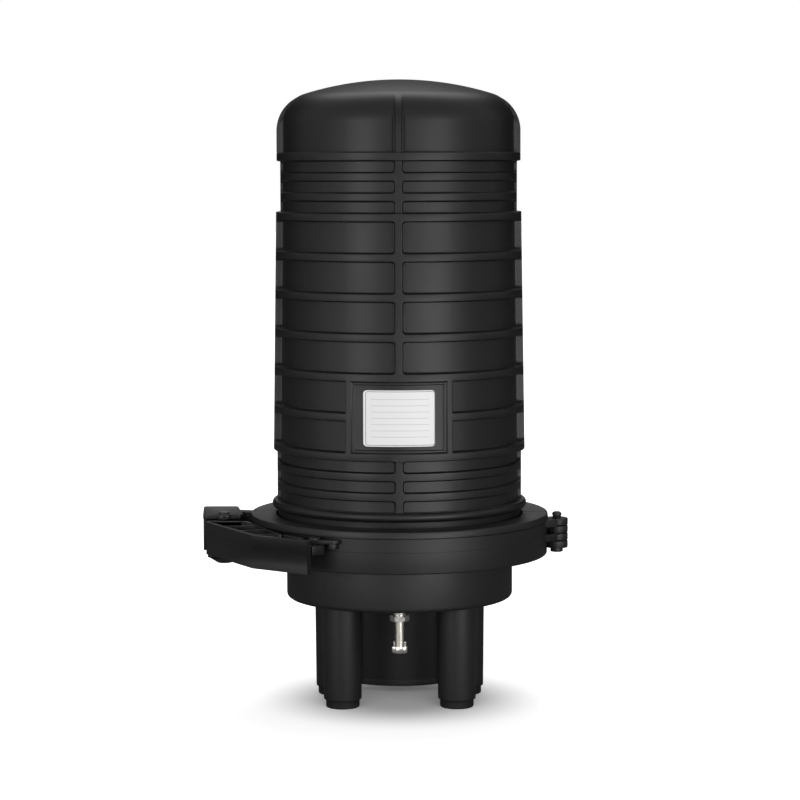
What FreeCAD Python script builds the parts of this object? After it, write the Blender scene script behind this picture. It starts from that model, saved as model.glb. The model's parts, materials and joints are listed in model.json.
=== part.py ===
import FreeCAD, Part
import math
import os

# Dome splice closure for optical fibre cable, standing on its cable ports.
# A ribbed dome sits on a base with five closed cable ports. A hinged clamp of two
# half rings, drawn together by an over-centre latch, holds dome and base on a seal.
# Frame: millimetres, +Z up, the dome's axis at X = Y = 0, Z = 0 at the port tips.
# The label and the air valve face -Y, the latch is at -X and the hinge at +X.

V = FreeCAD.Vector

# Heights of the stack, from the port tips up
port_tip_height = 5.4
port_height = 66.5
drum_height = 30.0
clamp_height = 27.8
seal_height = 13.6          # sealing face above the clamp's underside
neck_height = 4.3           # neck seen between the clamp and the collar
small_pitch = 13.13         # narrow ribs near both ends of the dome
big_pitch = 26.0            # wide ribs between them
small_rows = 3
big_rows = 6
rib_height = 5.5
cap_height = 54.7           # crown above the underside of the lip

# Dome: its skin, and how far everything else stands out of the skin
shell_low_r = 81.0
shell_top_r = 78.0
dome_wall = 3.2
neck_depth = 2.0
collar_depth = 3.7          # outside the neck
collar_edge = 1.5
lower_rib_depth = 2.3
big_rib_low_depth = 5.2
big_rib_top_depth = 4.7
upper_rib_depth = 2.1
cap_depth = 4.5
shell_shoulder_r = 20.5
rib_shoulder_r = 25.3
crown_r = 216.0
rib_sink = 0.4              # how far the upright ribs start below the crown
rib_width = 5.2
cap_rib_width = 4.2
cap_rib_reach = 30.0        # length of the cap's upright ribs, inwards from the wall

# Label window and label
window_width = 60.5
window_frame = 4.1
window_sink = 2.7           # floor of the window below the ribs' faces
window_step = 1.8
window_step_depth = 0.9
label_side_gap = 5.05       # between the label and the window's inner step
label_end_gap = 3.05
label_corner = 2.0
label_thickness = 0.25
label_shift = 0.7           # label centre from the window's centre, to the right
label_rise = -0.4           # and upwards

# Flanges, seal and clamp
flange_edge = 6.0
flange_slope = 0.25
flange_rim = 4.4            # flange outside the seal's groove
spigot_height = 8.0
spigot_wall = 3.2
spigot_gap = 0.4
spigot_edge = 0.8
groove_inset = 8.8          # groove outside the spigot
groove_width = 4.6
groove_depth = 3.6
seal_slack = 0.25
seal_edge = 1.0
clamp_wall = 4.8
clamp_rim = 0.8
clamp_rim_height = 4.2
clamp_edge = 0.6
jaw_gap = 0.3
mouth_gap = 1.2
seam_gap = 0.3
seam_turn = -3.0            # degrees, the whole clamp is turned a little on the dome

# Hinge of the clamp
hinge_reach = 6.5           # pin's axis outside the clamp's wall
hinge_y = -5.0
barrel_r = 7.6
hinge_pin_r = 2.7
pin_clearance = 0.06
hinge_top_gap = 3.9         # below the clamp's top
knuckle_lengths = (4.8, 4.9, 4.8, 5.0)
knuckle_gap = 0.3
barrel_gap = 0.5
hinge_arm = 5.6
hinge_web = 3.0             # slanting web from the ring to the barrel, with a window
web_spread = 10.0           # degrees from the pin to the web's foot on the ring
web_window_start = 0.25     # the window's ends, as shares of the web's length
web_window_end = 0.8
hinge_head_r = 3.9
hinge_head_height = 2.2
hinge_head_gap = 0.05
hinge_pin_rise = 4.2

# Latch, in plan: lever pivot, link pivot and lug pin
pivot_reach = 18.2          # lever's pivot outside the clamp's wall
pivot_y = -10.0
link_arm = 8.6              # link pivot from lever pivot
link_arm_angle = 131.3
lug_reach = 6.12            # lug pin outside the clamp's wall
lug_angle = 238.89          # degrees from +X
tab_reach = 1.6             # far end of the lug's ear
tab_angle = 244.9
tab_r = 5.4
ear_root = 2.0              # how deep ear and clevis reach into the clamp's wall
ear_r = 4.6
ear_thickness = 2.7
ear_foot_r = 3.6            # foot under the ear's far end
ear_foot_height = 3.6
level_gap = 0.4             # between parts that slide over each other

# Lever
lever_low_gap = 1.8         # above the clamp's underside
lever_top_gap = 4.1         # below the clamp's top
lever_wall = 3.0
lever_floor = 2.4
floor_width = 13.0
lever_tab_wall = 3.4
side_out = 11.6             # heel's outer corner from the pivot
side_forward = 12.7
heel_right = 12.3
heel_r = 8.0
link_boss_r = 6.0
elbow_out = 40.7            # elbow from the lug pin
elbow_back = 7.5
tab_out = 3.8               # end of the finger tab from the lug pin
tab_forward = 19.0
lever_rib = 1.8
lever_rib_drop = 3.0
lever_rib_start = 12.0
lever_rib_pitch = 18.0
lever_rib_count = 4
lever_rib_least = 3.0
lever_rib_most = 16.0
lever_rib_gap = 1.5
rail_wall = 1.8             # rail along the lever's inner side, above the link
rail_start_angle = 190.3
rail_start_reach = 5.6      # rail's ends outside the clamp's wall
rail_end_angle = 225.4
rail_end_reach = 11.4
rail_tie_count = 3
rail_tie_inset = 0.4        # outermost ties, from the rail's ends

# Link and pins
link_rise = 10.9            # link above the lever's underside
link_height = 6.4
link_thickness = 4.0
link_tall_gap = 0.8         # tall part of the link below the lever's top
link_tall_start = 0.25      # its ends, as shares of the link's last stretch
link_tall_end = 0.7
link_bow = 6.6
link_last_bow = 7.4
link_first_bow = 1.2
link_first = 22.0           # bends of the link, from its eye
link_second = 42.0
link_last = 36.0            # last bend, back from the lug pin
link_bend_r = 12.0
link_slack = 0.8            # between the hook's bill and the lug pin
link_eye_r = 4.4
pivot_pin_r = 3.2
link_pin_r = 2.4
link_pin_sink = 0.2         # pin's ends inside the lever's faces
lug_pin_r = 2.7
lug_head = 1.1              # head wider than the pin
pin_head_r = 3.8
pin_head_height = 1.2
pin_head_edge = 0.8

# Clevis that carries the lever, measured from the pivot
clevis_plate = 3.4
clevis_lower = 3.2
clevis_gap = 0.7
clevis_forward = 4.5
clevis_back = 38.4
clevis_front_left = 14.3    # the plates narrow to the front on the left
clevis_back_left = 17.0
clevis_front_right = 13.1   # and to the back on the right
clevis_back_right = 7.2
clevis_lower_inset = 3.0    # lower plate inside the cheek's face
clevis_corner = 3.0
clevis_hub_r = 6.6
clevis_wall = 2.3
clevis_cheek_back = 12.8    # cheek starts where the lever's corner swings clear of it
clevis_root_in = 6.3
clevis_root_back = 22.4
clevis_root_drop = 1.9      # root below the clamp's top
clevis_near_angle = 174.8   # where the root meets the ring
clevis_far_angle = 168.4
clevis_boss_height = 3.6
clevis_boss_r = 4.8
clevis_boss_top_r = 11.0

# Base: drum and ports
drum_r = 77.3
drum_wall = 3.5
drum_floor = 4.5
drum_corner = 3.0
drum_relief = 0.6           # the drum's side steps in below the clamp's underside
drum_relief_gap = 0.7
port_top_r = 13.5
port_low_r = 12.8
port_wall = 2.4
port_tip_r = 11.4
port_tip_edge = 1.0
port_circle_inset = 29.1    # circle of the round ports inside the drum's side
front_port_angle = 36.56
rear_port_angle = 20.28
oval_y = 35.4
oval_half_width = 37.4
oval_half_depth = 23.8
oval_wall = 2.8
oval_groove_height = 4.0
oval_groove_width = 0.5

# Air valve
valve_inset = 5.2           # between the valve's head and the drum's wall
stem_r = 3.45
stem_hole_gap = 0.15
stem_drop = 27.2            # stem end below the drum's underside
stem_bore_r = 1.9
valve_head_r = 6.6
valve_head_height = 4.5
valve_head_wall = 1.5
valve_washer_height = 1.4
nut_flats = 11.2
nut_height = 4.3
nut_spigot_r = 4.3
nut_spigot_height = 2.9
cap_ring_r = 4.95
cap_ring_height = 4.6
cap_prong_r = 4.45
cap_prong_height = 3.4
cap_prong_width = 3.6
cap_clearance = 0.1
cap_floor = 1.4
core_r = 1.1
core_length = 12.0
core_inset = 1.0
core_collar_start = 4.0
core_collar_length = 4.0

# Cross plate, its screws and the cable anchors
bench_height = 14.0         # cross plate above the drum's floor
bench_boss_inset = 11.8     # bosses inside the drum's wall
bench_boss_y = -6.0
bench_boss_r = 4.6
bench_end = 5.0             # cross plate beyond its bosses
bench_half_width = 8.0
bench_thickness = 2.0
bench_corner = 5.0
screw_r = 2.0
screw_play = 0.05
screw_hole_gap = 0.2
screw_head_r = 3.8
screw_head_height = 2.4
screw_length = 9.0
anchor_x = 24.0
anchor_half = 6.0
anchor_height = 16.0
anchor_back = 1.6
anchor_slot = 3.2
anchor_slot_depth = 7.0
anchor_hole_depth = 7.0
anchor_screw_length = 6.0

# Frame
frame_offset = 2.0          # frame's panel behind the cross plate's screws
frame_margin = 3.0          # trays wider than the frame, each side
frame_thickness = 1.5
frame_flange = 12.0
frame_top_gap = 42.0        # below the crown
frame_window_inset = 16.0
frame_window_margin = 40.0
frame_side_rise = 30.0
frame_foot = 7.0
frame_foot_gap = 14.0
frame_foot_depth = 6.0

# Trays and their comb
tray_count = 4
tray_room = 6.9             # between the strap's corner and the dome
tray_height = 178.0
tray_thickness = 8.6
tray_pitch = 9.2
tray_wall = 1.5
tray_corner = 12.0
tray_rise = 59.6            # above the cross plate
tray_front_y = -10.5        # back of the rearmost tray
spool_r = 26.0
spool_wall = 1.6
spool_offset = 48.0
spool_drop = 1.5
tooth_count = 6
tooth_pitch = 7.0
tooth_width = 1.6
tooth_half_length = 18.0
tooth_drop = 2.0
eye_r = 3.2
eye_width = 6.0
eye_gap = 1.0
eye_neck = 3.0
comb_width = 22.0
comb_cheek = 4.0
comb_back = 3.0
comb_lip = 2.0
comb_drop = 8.0
comb_top_gap = 1.1
comb_foot_half = 25.0
comb_foot_height = 10.0
comb_foot_front = 1.0
comb_foot_drop = 6.0
rod_r = 1.25
rod_gap = 0.1
rod_drop = 2.0              # rods' axis below the trays
rod_end = 7.0
lid_thickness = 1.6
lid_inset = 1.0

# Basket and strap
basket_depth = 38.0
basket_wall = 1.8
basket_height = 165.0
basket_drop = 10.0          # below the trays
basket_gap = 0.3
vent_count = 4
vent_pitch = 18.0
vent_width = 8.0
vent_low = 20.0
vent_top = 25.0
strap_width = 20.0
strap_thickness = 1.4
strap_rise = 112.0          # above the trays' lower end
strap_gap = 0.3
strap_corner = 3.0

# Levels and places that follow
far = 200.0                 # reach of cutting tools, outside everything
over = 1.0                  # how far a cutting tool passes a face
sink = 0.5                  # how far joined bodies reach into each other
drum_z = port_tip_height + port_height
clamp_z = drum_z + drum_height
clamp_top = clamp_z + clamp_height
seal_z = clamp_z + seal_height
collar_z = clamp_top + neck_height
big_z = collar_z + small_rows * small_pitch
upper_z = big_z + big_rows * big_pitch
lip_z = upper_z + small_rows * small_pitch
apex_z = lip_z + cap_height
floor_z = drum_z + drum_floor
bench_z = floor_z + bench_height
bench_top = bench_z + bench_thickness
spigot_r = shell_low_r - dome_wall + spigot_gap
groove_r = spigot_r + groove_inset
flange_r = groove_r + groove_width + flange_rim
neck_r = shell_low_r + neck_depth
collar_r = neck_r + collar_depth
clamp_wall_r = flange_r + jaw_gap + clamp_wall
clamp_rim_r = clamp_wall_r + clamp_rim
hinge_x = clamp_wall_r + hinge_reach
pivot_x = -clamp_wall_r - pivot_reach
link_x = pivot_x + link_arm * math.cos(math.radians(link_arm_angle))
link_y = pivot_y + link_arm * math.sin(math.radians(link_arm_angle))
lever_low = clamp_z + lever_low_gap
lever_top = clamp_top - lever_top_gap
link_low = lever_low + link_rise
link_top = link_low + link_height
window_low = big_z + rib_height
window_high = big_z + 2 * big_pitch
valve_y = valve_head_r + valve_inset + drum_wall - drum_r
bench_boss_x = drum_r - drum_wall - bench_boss_inset
frame_y = bench_boss_y + frame_offset
tray_z = bench_z + tray_rise
basket_z = tray_z - basket_drop
basket_y = frame_y + frame_thickness
stack_y = tray_front_y - (tray_count - 1) * tray_pitch - tray_thickness - lid_thickness
tray_half = math.sqrt((shell_top_r - dome_wall) ** 2 - (stack_y - strap_thickness) ** 2) - tray_room
frame_half = tray_half - frame_margin


def polar(angle, radius):
    """The point at an angle from +X, in degrees, on a circle about the dome's axis."""
    return radius * math.cos(math.radians(angle)), radius * math.sin(math.radians(angle))


def edges_through(points, place, closed=True):
    """Edges through corners (u, v, r): a positive r rounds the corner, a negative one chamfers it."""
    count = len(points)
    stops = []
    for i, corner in enumerate(points):
        here = V(corner[0], corner[1], 0)
        radius = corner[2] if len(corner) > 2 else 0
        if not radius or (not closed and i in (0, count - 1)):
            stops.append((here, None, here))
            continue
        before = V(points[i - 1][0], points[i - 1][1], 0) - here
        after = V(points[(i + 1) % count][0], points[(i + 1) % count][1], 0) - here
        before.normalize()
        after.normalize()
        if radius < 0:
            stops.append((here - before * radius, None, here - after * radius))
            continue
        half = before.getAngle(after) / 2
        inward = (before + after).normalize()
        reach = radius / math.tan(half)
        middle = here + inward * (radius / math.sin(half) - radius)
        stops.append((here + before * reach, middle, here + after * reach))
    edges = []
    for i, (start, middle, end) in enumerate(stops):
        if middle is not None:
            arc = Part.Arc(place(start.x, start.y), place(middle.x, middle.y), place(end.x, end.y))
            edges.append(arc.toShape())
        elif (end - start).Length > 1e-6:
            edges.append(Part.makeLine(place(start.x, start.y), place(end.x, end.y)))
        if i + 1 < count or closed:
            following = stops[(i + 1) % count][0]
            if (following - end).Length > 1e-6:
                edges.append(Part.makeLine(place(end.x, end.y), place(following.x, following.y)))
    return edges


def on_section(u, v):
    return V(u, 0, v)


def plate(points, low, high):
    """An upright prism on an outline drawn in plan."""
    face = Part.Face(Part.Wire(edges_through(points, lambda u, v: V(u, v, low))))
    return face.extrude(V(0, 0, high - low))


def panel(points, front, back):
    """A prism from front to back on an outline drawn in elevation."""
    face = Part.Face(Part.Wire(edges_through(points, lambda u, v: V(u, back, v))))
    return face.extrude(V(0, front - back, 0))


def corners(half, low, high, radius):
    """The corners of a rectangle about the middle line, all with one radius."""
    return [(-half, low, radius), (half, low, radius), (half, high, radius), (-half, high, radius)]


def turned(points):
    """A solid of revolution about the dome's axis, from a section of (r, z) corners."""
    return turned_edges(edges_through(points, on_section))


def turned_edges(edges):
    face = Part.Face(Part.Wire(Part.__sortEdges__(edges)))
    return face.revolve(V(0, 0, 0), V(0, 0, 1), 360)


def post(x, y, low, high, radius):
    return Part.makeCylinder(radius, high - low, V(x, y, low))


def cone(x, y, low, high, low_r, high_r):
    return Part.makeCone(low_r, high_r, high - low, V(x, y, low))


def block(x0, x1, y0, y1, z0, z1):
    return Part.makeBox(x1 - x0, y1 - y0, z1 - z0, V(x0, y0, z0))


def joined(shapes):
    whole = shapes[0].fuse(list(shapes[1:]))
    return whole.removeSplitter()


def save(name, shape):
    solids = shape.Solids
    kept = solids[0] if len(solids) == 1 else Part.makeCompound(solids)
    kept.exportStep(os.path.join("parts", name + ".step"))
    print(name, len(solids), "solid(s)", round(kept.Volume / 1000, 2), "cm3", kept.isValid())


# Dome

def shell_r(z):
    """Radius of the dome's skin between the ribs: it narrows upwards for the mould."""
    share = (z - collar_z) / (lip_z - collar_z)
    return shell_low_r + (shell_top_r - shell_low_r) * min(1.0, max(0.0, share))


def crown(wall_r, shoulder_r, sphere_r, top):
    """Where a wall, a rounded shoulder and a shallow crown meet: shoulder height, crown edge, lean."""
    across = wall_r - shoulder_r
    centre_z = top - sphere_r
    shoulder_z = centre_z + math.sqrt((sphere_r - shoulder_r) ** 2 - across ** 2)
    lean = math.asin(across / (sphere_r - shoulder_r))
    edge = V(sphere_r * math.sin(lean), 0, centre_z + sphere_r * math.cos(lean))
    return shoulder_z, edge, lean


def capped(points, wall_r, shoulder_r, sphere_r, top, rounded=True):
    """A turned solid whose section runs up to a crown, over a rounded or a straight shoulder."""
    shoulder_z, edge, lean = crown(wall_r, shoulder_r, sphere_r, top)
    start = V(wall_r, 0, shoulder_z)
    if rounded:
        turn = (math.pi / 2 + lean) / 2
        across = wall_r - shoulder_r
        middle = V(across + shoulder_r * math.sin(turn), 0, shoulder_z + shoulder_r * math.cos(turn))
        shoulder = Part.Arc(start, middle, edge).toShape()
    else:
        shoulder = Part.makeLine(start, edge)
    centre_z = top - sphere_r
    halfway = V(sphere_r * math.sin(lean / 2), 0, centre_z + sphere_r * math.cos(lean / 2))
    arc = Part.Arc(edge, halfway, V(0, 0, top)).toShape()
    rising = edges_through(points + [(wall_r, shoulder_z)], on_section, closed=False)
    closing = Part.makeLine(V(0, 0, top), V(0, 0, points[0][1]))
    return turned_edges(rising + [shoulder, arc, closing])


def flange_top(r):
    """Height of the dome flange's sloped upper face."""
    return seal_z + flange_edge + flange_slope * (flange_r - r)


def cross(width, low, high):
    """Four upright plates, front, back, left and right."""
    along = block(-width / 2, width / 2, -far, far, low, high)
    across = block(-far, far, -width / 2, width / 2, low, high)
    return along.fuse(across)


def rib_levels():
    """Undersides of the ring ribs, from the collar to the lip."""
    levels = [collar_z + i * small_pitch for i in range(small_rows)]
    levels += [big_z + i * big_pitch for i in range(big_rows)]
    levels += [upper_z + i * small_pitch for i in range(small_rows + 1)]
    return levels


def big_rib_r(z):
    """Radius of the wide ribs' faces."""
    top = upper_z + rib_height
    low_r = shell_r(big_z) + big_rib_low_depth
    top_r = shell_r(top) + big_rib_top_depth
    return low_r + (top_r - low_r) * (z - big_z) / (top - big_z)


def dome_envelope():
    """The dome without pockets: skirt, rib faces and crown."""
    collar_top = collar_z + rib_height
    upper_top = upper_z + rib_height
    lower_rib_r = shell_low_r + lower_rib_depth
    upper_rib_r = shell_top_r + upper_rib_depth
    cap_r = shell_top_r + cap_depth
    points = [
        (0, seal_z),
        (flange_r, seal_z),
        (flange_r, seal_z + flange_edge),
        (neck_r, flange_top(neck_r)),
        (neck_r, collar_z),
        (collar_r, collar_z, -collar_edge),
        (collar_r, collar_top, -collar_edge),
        (lower_rib_r, collar_top),
        (lower_rib_r, big_z),
        (big_rib_r(big_z), big_z),
        (big_rib_r(upper_top), upper_top),
        (upper_rib_r, upper_top),
        (upper_rib_r, lip_z),
        (cap_r, lip_z),
        (cap_r, lip_z + rib_height),
        (shell_top_r, lip_z + rib_height),
    ]
    return capped(points, shell_top_r, shell_shoulder_r, crown_r, apex_z)


def cap_ribs():
    """The cap's four upright ribs, which run over the shoulder and fade into the crown."""
    low = lip_z + rib_height
    cap_r = shell_top_r + cap_depth
    outer = capped([(0, low), (cap_r, low)], cap_r, rib_shoulder_r, crown_r, apex_z - rib_sink)
    ring = outer.cut(post(0, 0, low, apex_z, cap_r - cap_rib_reach))
    return ring.common(cross(cap_rib_width, low, apex_z))


def pockets():
    """The sunk panels between the ring ribs and the upright ribs."""
    levels = rib_levels()
    rings = []
    for low, high in zip(levels, levels[1:]):
        z0 = low + rib_height
        rings.append(turned([(shell_r(z0), z0), (far, z0), (far, high), (shell_r(high), high)]))
    keep = cross(rib_width, collar_z, lip_z + rib_height)
    half = window_width / 2 + window_frame
    keep = keep.fuse(block(-half, half, -far, 0, window_low, window_high))
    return Part.makeCompound([ring.cut(keep) for ring in rings])


def window_floor_r():
    return big_rib_r(window_low) - window_sink


def window():
    """The recess that takes the label, with a step round its floor."""
    half = window_width / 2
    outer = block(-half, half, -far, 0, window_low, window_high)
    outer = outer.cut(post(0, 0, window_low, window_high, window_floor_r() + window_step_depth))
    inner = block(-half + window_step, half - window_step, -far, 0,
                  window_low + window_step, window_high - window_step)
    return outer.fuse(inner.cut(post(0, 0, window_low, window_high, window_floor_r())))


def dome_cavity():
    """The hollow, which widens at its mouth to pass the base's spigot."""
    inner_top = shell_top_r - dome_wall
    mouth_r = spigot_r + spigot_gap
    step_z = seal_z + spigot_height + spigot_gap
    points = [
        (0, seal_z - over),
        (mouth_r, seal_z - over),
        (mouth_r, step_z),
        (shell_low_r - dome_wall, step_z + 2 * over),
        (inner_top, lip_z),
    ]
    return capped(points, inner_top, shell_shoulder_r - dome_wall, crown_r - dome_wall,
                  apex_z - dome_wall, rounded=False)


def dome_cover():
    solid = dome_envelope().cut(pockets())
    solid = solid.cut(window())
    solid = solid.fuse(cap_ribs().Solids).removeSplitter()
    return solid.cut(dome_cavity())


def label():
    """A thin plate bent round the dome, in the window."""
    half_width = window_width / 2 - window_step - label_side_gap
    low = window_low + window_step + label_end_gap + label_rise
    high = window_high - window_step - label_end_gap + label_rise
    sheet = panel(corners(half_width, low, high, label_corner), -far, 0)
    sheet.translate(V(label_shift, 0, 0))
    floor_r = window_floor_r()
    ring = post(0, 0, low - over, high + over, floor_r + label_thickness)
    return sheet.common(ring.cut(post(0, 0, low - over, high + over, floor_r)))


# Base

def drum():
    """Drum, sloped sealing flange and the spigot inside the dome."""
    inner = drum_r - drum_wall
    under = seal_z - flange_edge
    step_r, step_z = drum_r - drum_relief, clamp_z - drum_relief_gap
    return turned([
        (0, drum_z),
        (drum_r, drum_z, drum_corner),
        (drum_r, step_z),
        (step_r, step_z),
        (step_r, under - flange_slope * (flange_r - step_r)),
        (flange_r, under),
        (flange_r, seal_z),
        (spigot_r, seal_z),
        (spigot_r, seal_z + spigot_height, -spigot_edge),
        (spigot_r - spigot_wall, seal_z + spigot_height),
        (spigot_r - spigot_wall, seal_z),
        (inner, seal_z - spigot_height),
        (inner, floor_z),
        (0, floor_z),
    ])


def port_places():
    """Axes of the four round ports."""
    circle_r = drum_r - port_circle_inset
    angles = (-front_port_angle, 180 + front_port_angle, rear_port_angle, 180 - rear_port_angle)
    return [polar(angle, circle_r) for angle in angles]


def round_port(x, y):
    """A closed port: tapered body and a stepped tip that is sawn off to let a cable in."""
    body = cone(x, y, port_tip_height, drum_z + sink, port_low_r, port_top_r)
    tip = post(x, y, port_tip_edge, port_tip_height + sink, port_tip_r)
    return body.fuse([tip, cone(x, y, 0, port_tip_edge, port_tip_r - port_tip_edge, port_tip_r)])


def round_bore(x, y):
    body = cone(x, y, port_tip_height, floor_z + over, port_low_r - port_wall, port_top_r - port_wall)
    return body.fuse(post(x, y, port_wall, port_tip_height + over, port_tip_r - port_wall))


def oval(inset, low, high):
    ellipse = Part.Ellipse(V(0, oval_y, low), oval_half_width - inset, oval_half_depth - inset)
    face = Part.Face(Part.Wire(ellipse.toShape()))
    return face.extrude(V(0, 0, high - low))


def base():
    """Drum, sealing flange and ports, moulded as one piece."""
    groove_z = port_tip_height + oval_groove_height
    groove = oval(-over, groove_z, groove_z + oval_groove_width)
    groove = groove.cut(oval(oval_groove_width, groove_z, groove_z + oval_groove_width))
    solids = [drum(), oval(0, port_tip_height, drum_z + sink).cut(groove)]
    solids += [round_port(x, y) for x, y in port_places()]
    solids += [post(side * bench_boss_x, bench_boss_y, floor_z - sink, bench_z, bench_boss_r)
               for side in (-1, 1)]
    cuts = [round_bore(x, y) for x, y in port_places()]
    cuts.append(oval(oval_wall, port_tip_height + oval_wall, floor_z + over))
    cuts.append(post(0, valve_y, drum_z - over, floor_z + over, stem_r + stem_hole_gap))
    cuts += [post(side * bench_boss_x, bench_boss_y, bench_z - screw_length, bench_z + over, screw_r)
             for side in (-1, 1)]
    groove_out = groove_r + groove_width
    cuts.append(turned([(groove_r, seal_z - groove_depth), (groove_out, seal_z - groove_depth),
                        (groove_out, seal_z + over), (groove_r, seal_z + over)]))
    return joined(solids).cut(cuts)


def seal_ring():
    """The seal, pressed by the dome's flange to fill its groove's height."""
    low, high = seal_z - groove_depth, seal_z
    inner, outer = groove_r + seal_slack, groove_r + groove_width - seal_slack
    return turned([(inner, low, -seal_edge), (outer, low, -seal_edge),
                   (outer, high, -seal_edge), (inner, high, -seal_edge)])


# Clamp

def clamp_ring():
    """The whole clamp's section turned: a channel whose jaws slope like the two flanges."""
    root = flange_r + jaw_gap
    upper_mouth = neck_r + mouth_gap
    lower_mouth = drum_r + mouth_gap
    upper_root = seal_z + flange_edge + jaw_gap
    lower_root = seal_z - flange_edge - jaw_gap
    rim_z = clamp_top - clamp_rim_height
    return turned([
        (lower_mouth, clamp_z),
        (clamp_wall_r, clamp_z, -clamp_edge),
        (clamp_wall_r, rim_z),
        (clamp_rim_r, rim_z),
        (clamp_rim_r, clamp_top, -clamp_edge),
        (upper_mouth, clamp_top, -clamp_edge),
        (upper_mouth, upper_root + flange_slope * (root - upper_mouth)),
        (root, upper_root),
        (root, lower_root),
        (lower_mouth, lower_root - flange_slope * (root - lower_mouth)),
    ])


def half_space(side):
    """A block that keeps one side of the seam: -1 the front half, 1 the rear half."""
    low, high = (seam_gap, far) if side > 0 else (-far, -seam_gap)
    piece = block(-far, far, low, high, 0, far)
    piece.rotate(V(0, 0, 0), V(0, 0, 1), seam_turn)
    return piece


def knuckle_spans():
    """Low and high ends of the four hinge knuckles, from the top down."""
    spans = []
    high = clamp_top - hinge_top_gap
    for length in knuckle_lengths:
        spans.append((high - length, high))
        high -= length + knuckle_gap
    return spans


def hinge_block(side, low, high):
    """A block from the ring's wall to the pin's axis, on its own half's side of the seam."""
    edge = hinge_y + side * barrel_r
    near = edge - side * hinge_arm
    return block(flange_r + jaw_gap, hinge_x, min(edge, near), max(edge, near), low, high)


def hinge_web_plate(side, low, high, window_low, window_high):
    """The slanting web from the ring to the barrel's side, with a window at the other half's knuckle."""
    tip = V(hinge_x, hinge_y + side * barrel_r, 0)
    turn = math.degrees(math.atan2(hinge_y, hinge_x)) + side * web_spread
    foot = V(*polar(turn, clamp_wall_r - ear_root), 0)
    inner = V(0, -side * hinge_web, 0)
    web = plate([(p.x, p.y) for p in (foot, tip, tip + inner, foot + inner)], low, high)
    start, end = (foot + (tip - foot) * share for share in (web_window_start, web_window_end))
    window = block(start.x, end.x, min(foot.y, tip.y) - hinge_web, max(foot.y, tip.y) + hinge_web,
                   window_low, window_high)
    return web.cut(window)


def with_hinge(half, side):
    """A half ring with its two knuckles, bored for the pin and notched for the other two."""
    spans = knuckle_spans()
    own = spans[0::2] if side < 0 else spans[1::2]
    others = spans[1::2] if side < 0 else spans[0::2]
    parts = [half, hinge_web_plate(side, own[-1][0], own[0][1], *spans[1 if side < 0 else 2])]
    for low, high in own:
        parts.append(hinge_block(side, low, high))
        parts.append(post(hinge_x, hinge_y, low, high, barrel_r))
    solid = joined(parts)
    for low, high in others:
        solid = solid.cut(post(hinge_x, hinge_y, low - knuckle_gap, high + knuckle_gap,
                               barrel_r + barrel_gap))
    low, high = spans[-1][0] - over, spans[0][1] + over
    return solid.cut(post(hinge_x, hinge_y, low, high, hinge_pin_r + pin_clearance))


def hinge_pin():
    """The hinge's pin: a shank that stands up through the knuckles and a head below them."""
    spans = knuckle_spans()
    low, high = spans[-1][0], spans[0][1]
    shank = post(hinge_x, hinge_y, low - hinge_head_gap - sink, high + hinge_pin_rise, hinge_pin_r)
    head = post(hinge_x, hinge_y, low - hinge_head_height, low - hinge_head_gap, hinge_head_r)
    return joined([shank, head])


def hull(circles, low, high):
    """A prism round two circles (x, y, r) with straight tangent sides."""
    (x0, y0, r0), (x1, y1, r1) = circles
    heading = math.atan2(y1 - y0, x1 - x0)
    spread = math.acos((r0 - r1) / math.hypot(x1 - x0, y1 - y0))
    outline = []
    for sign, (x, y, r) in ((1, circles[0]), (1, circles[1]), (-1, circles[1]), (-1, circles[0])):
        angle = heading + sign * spread
        outline.append((x + r * math.cos(angle), y + r * math.sin(angle)))
    return joined([plate(outline, low, high), post(x0, y0, low, high, r0), post(x1, y1, low, high, r1)])


def lug_place():
    return polar(lug_angle, clamp_wall_r + lug_reach)


def lug_ear(low, high):
    """A rounded ear from the lug pin along the ring, with a foot under it."""
    lug = lug_place()
    tab = polar(tab_angle, clamp_wall_r + tab_reach)
    root = [lug, tab, polar(tab_angle, clamp_wall_r - ear_root), polar(lug_angle, clamp_wall_r - ear_root)]
    foot = post(*tab, low - ear_foot_height, low + sink, ear_foot_r)
    return joined([hull([(*lug, ear_r), (*tab, tab_r)], low, high), plate(root, low, high), foot])


def clamp_half_front():
    """The half ring on the label's side, with the lug that the latch's link hooks on."""
    half = clamp_ring().common(half_space(-1))
    low = link_top + level_gap
    solid = joined([half, lug_ear(low, low + ear_thickness)])
    hole = post(*lug_place(), low - over, low + ear_thickness + over, lug_pin_r + pin_clearance)
    return with_hinge(solid, -1).cut(hole)


def clevis_left(back):
    """X of the clevis's left side, at a distance behind the pivot."""
    share = (back + clevis_forward) / (clevis_back + clevis_forward)
    return pivot_x - clevis_front_left - (clevis_back_left - clevis_front_left) * share


def clevis_outline(inset):
    """Plan of a clevis plate, from the front left corner round."""
    front, back = pivot_y - clevis_forward, pivot_y + clevis_back
    return [
        (clevis_left(-clevis_forward) + inset, front, clevis_corner),
        (pivot_x + clevis_front_right, front, clevis_corner),
        (pivot_x + clevis_back_right, back, clevis_corner),
        (clevis_left(clevis_back) + inset, back, clevis_corner),
    ]


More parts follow.
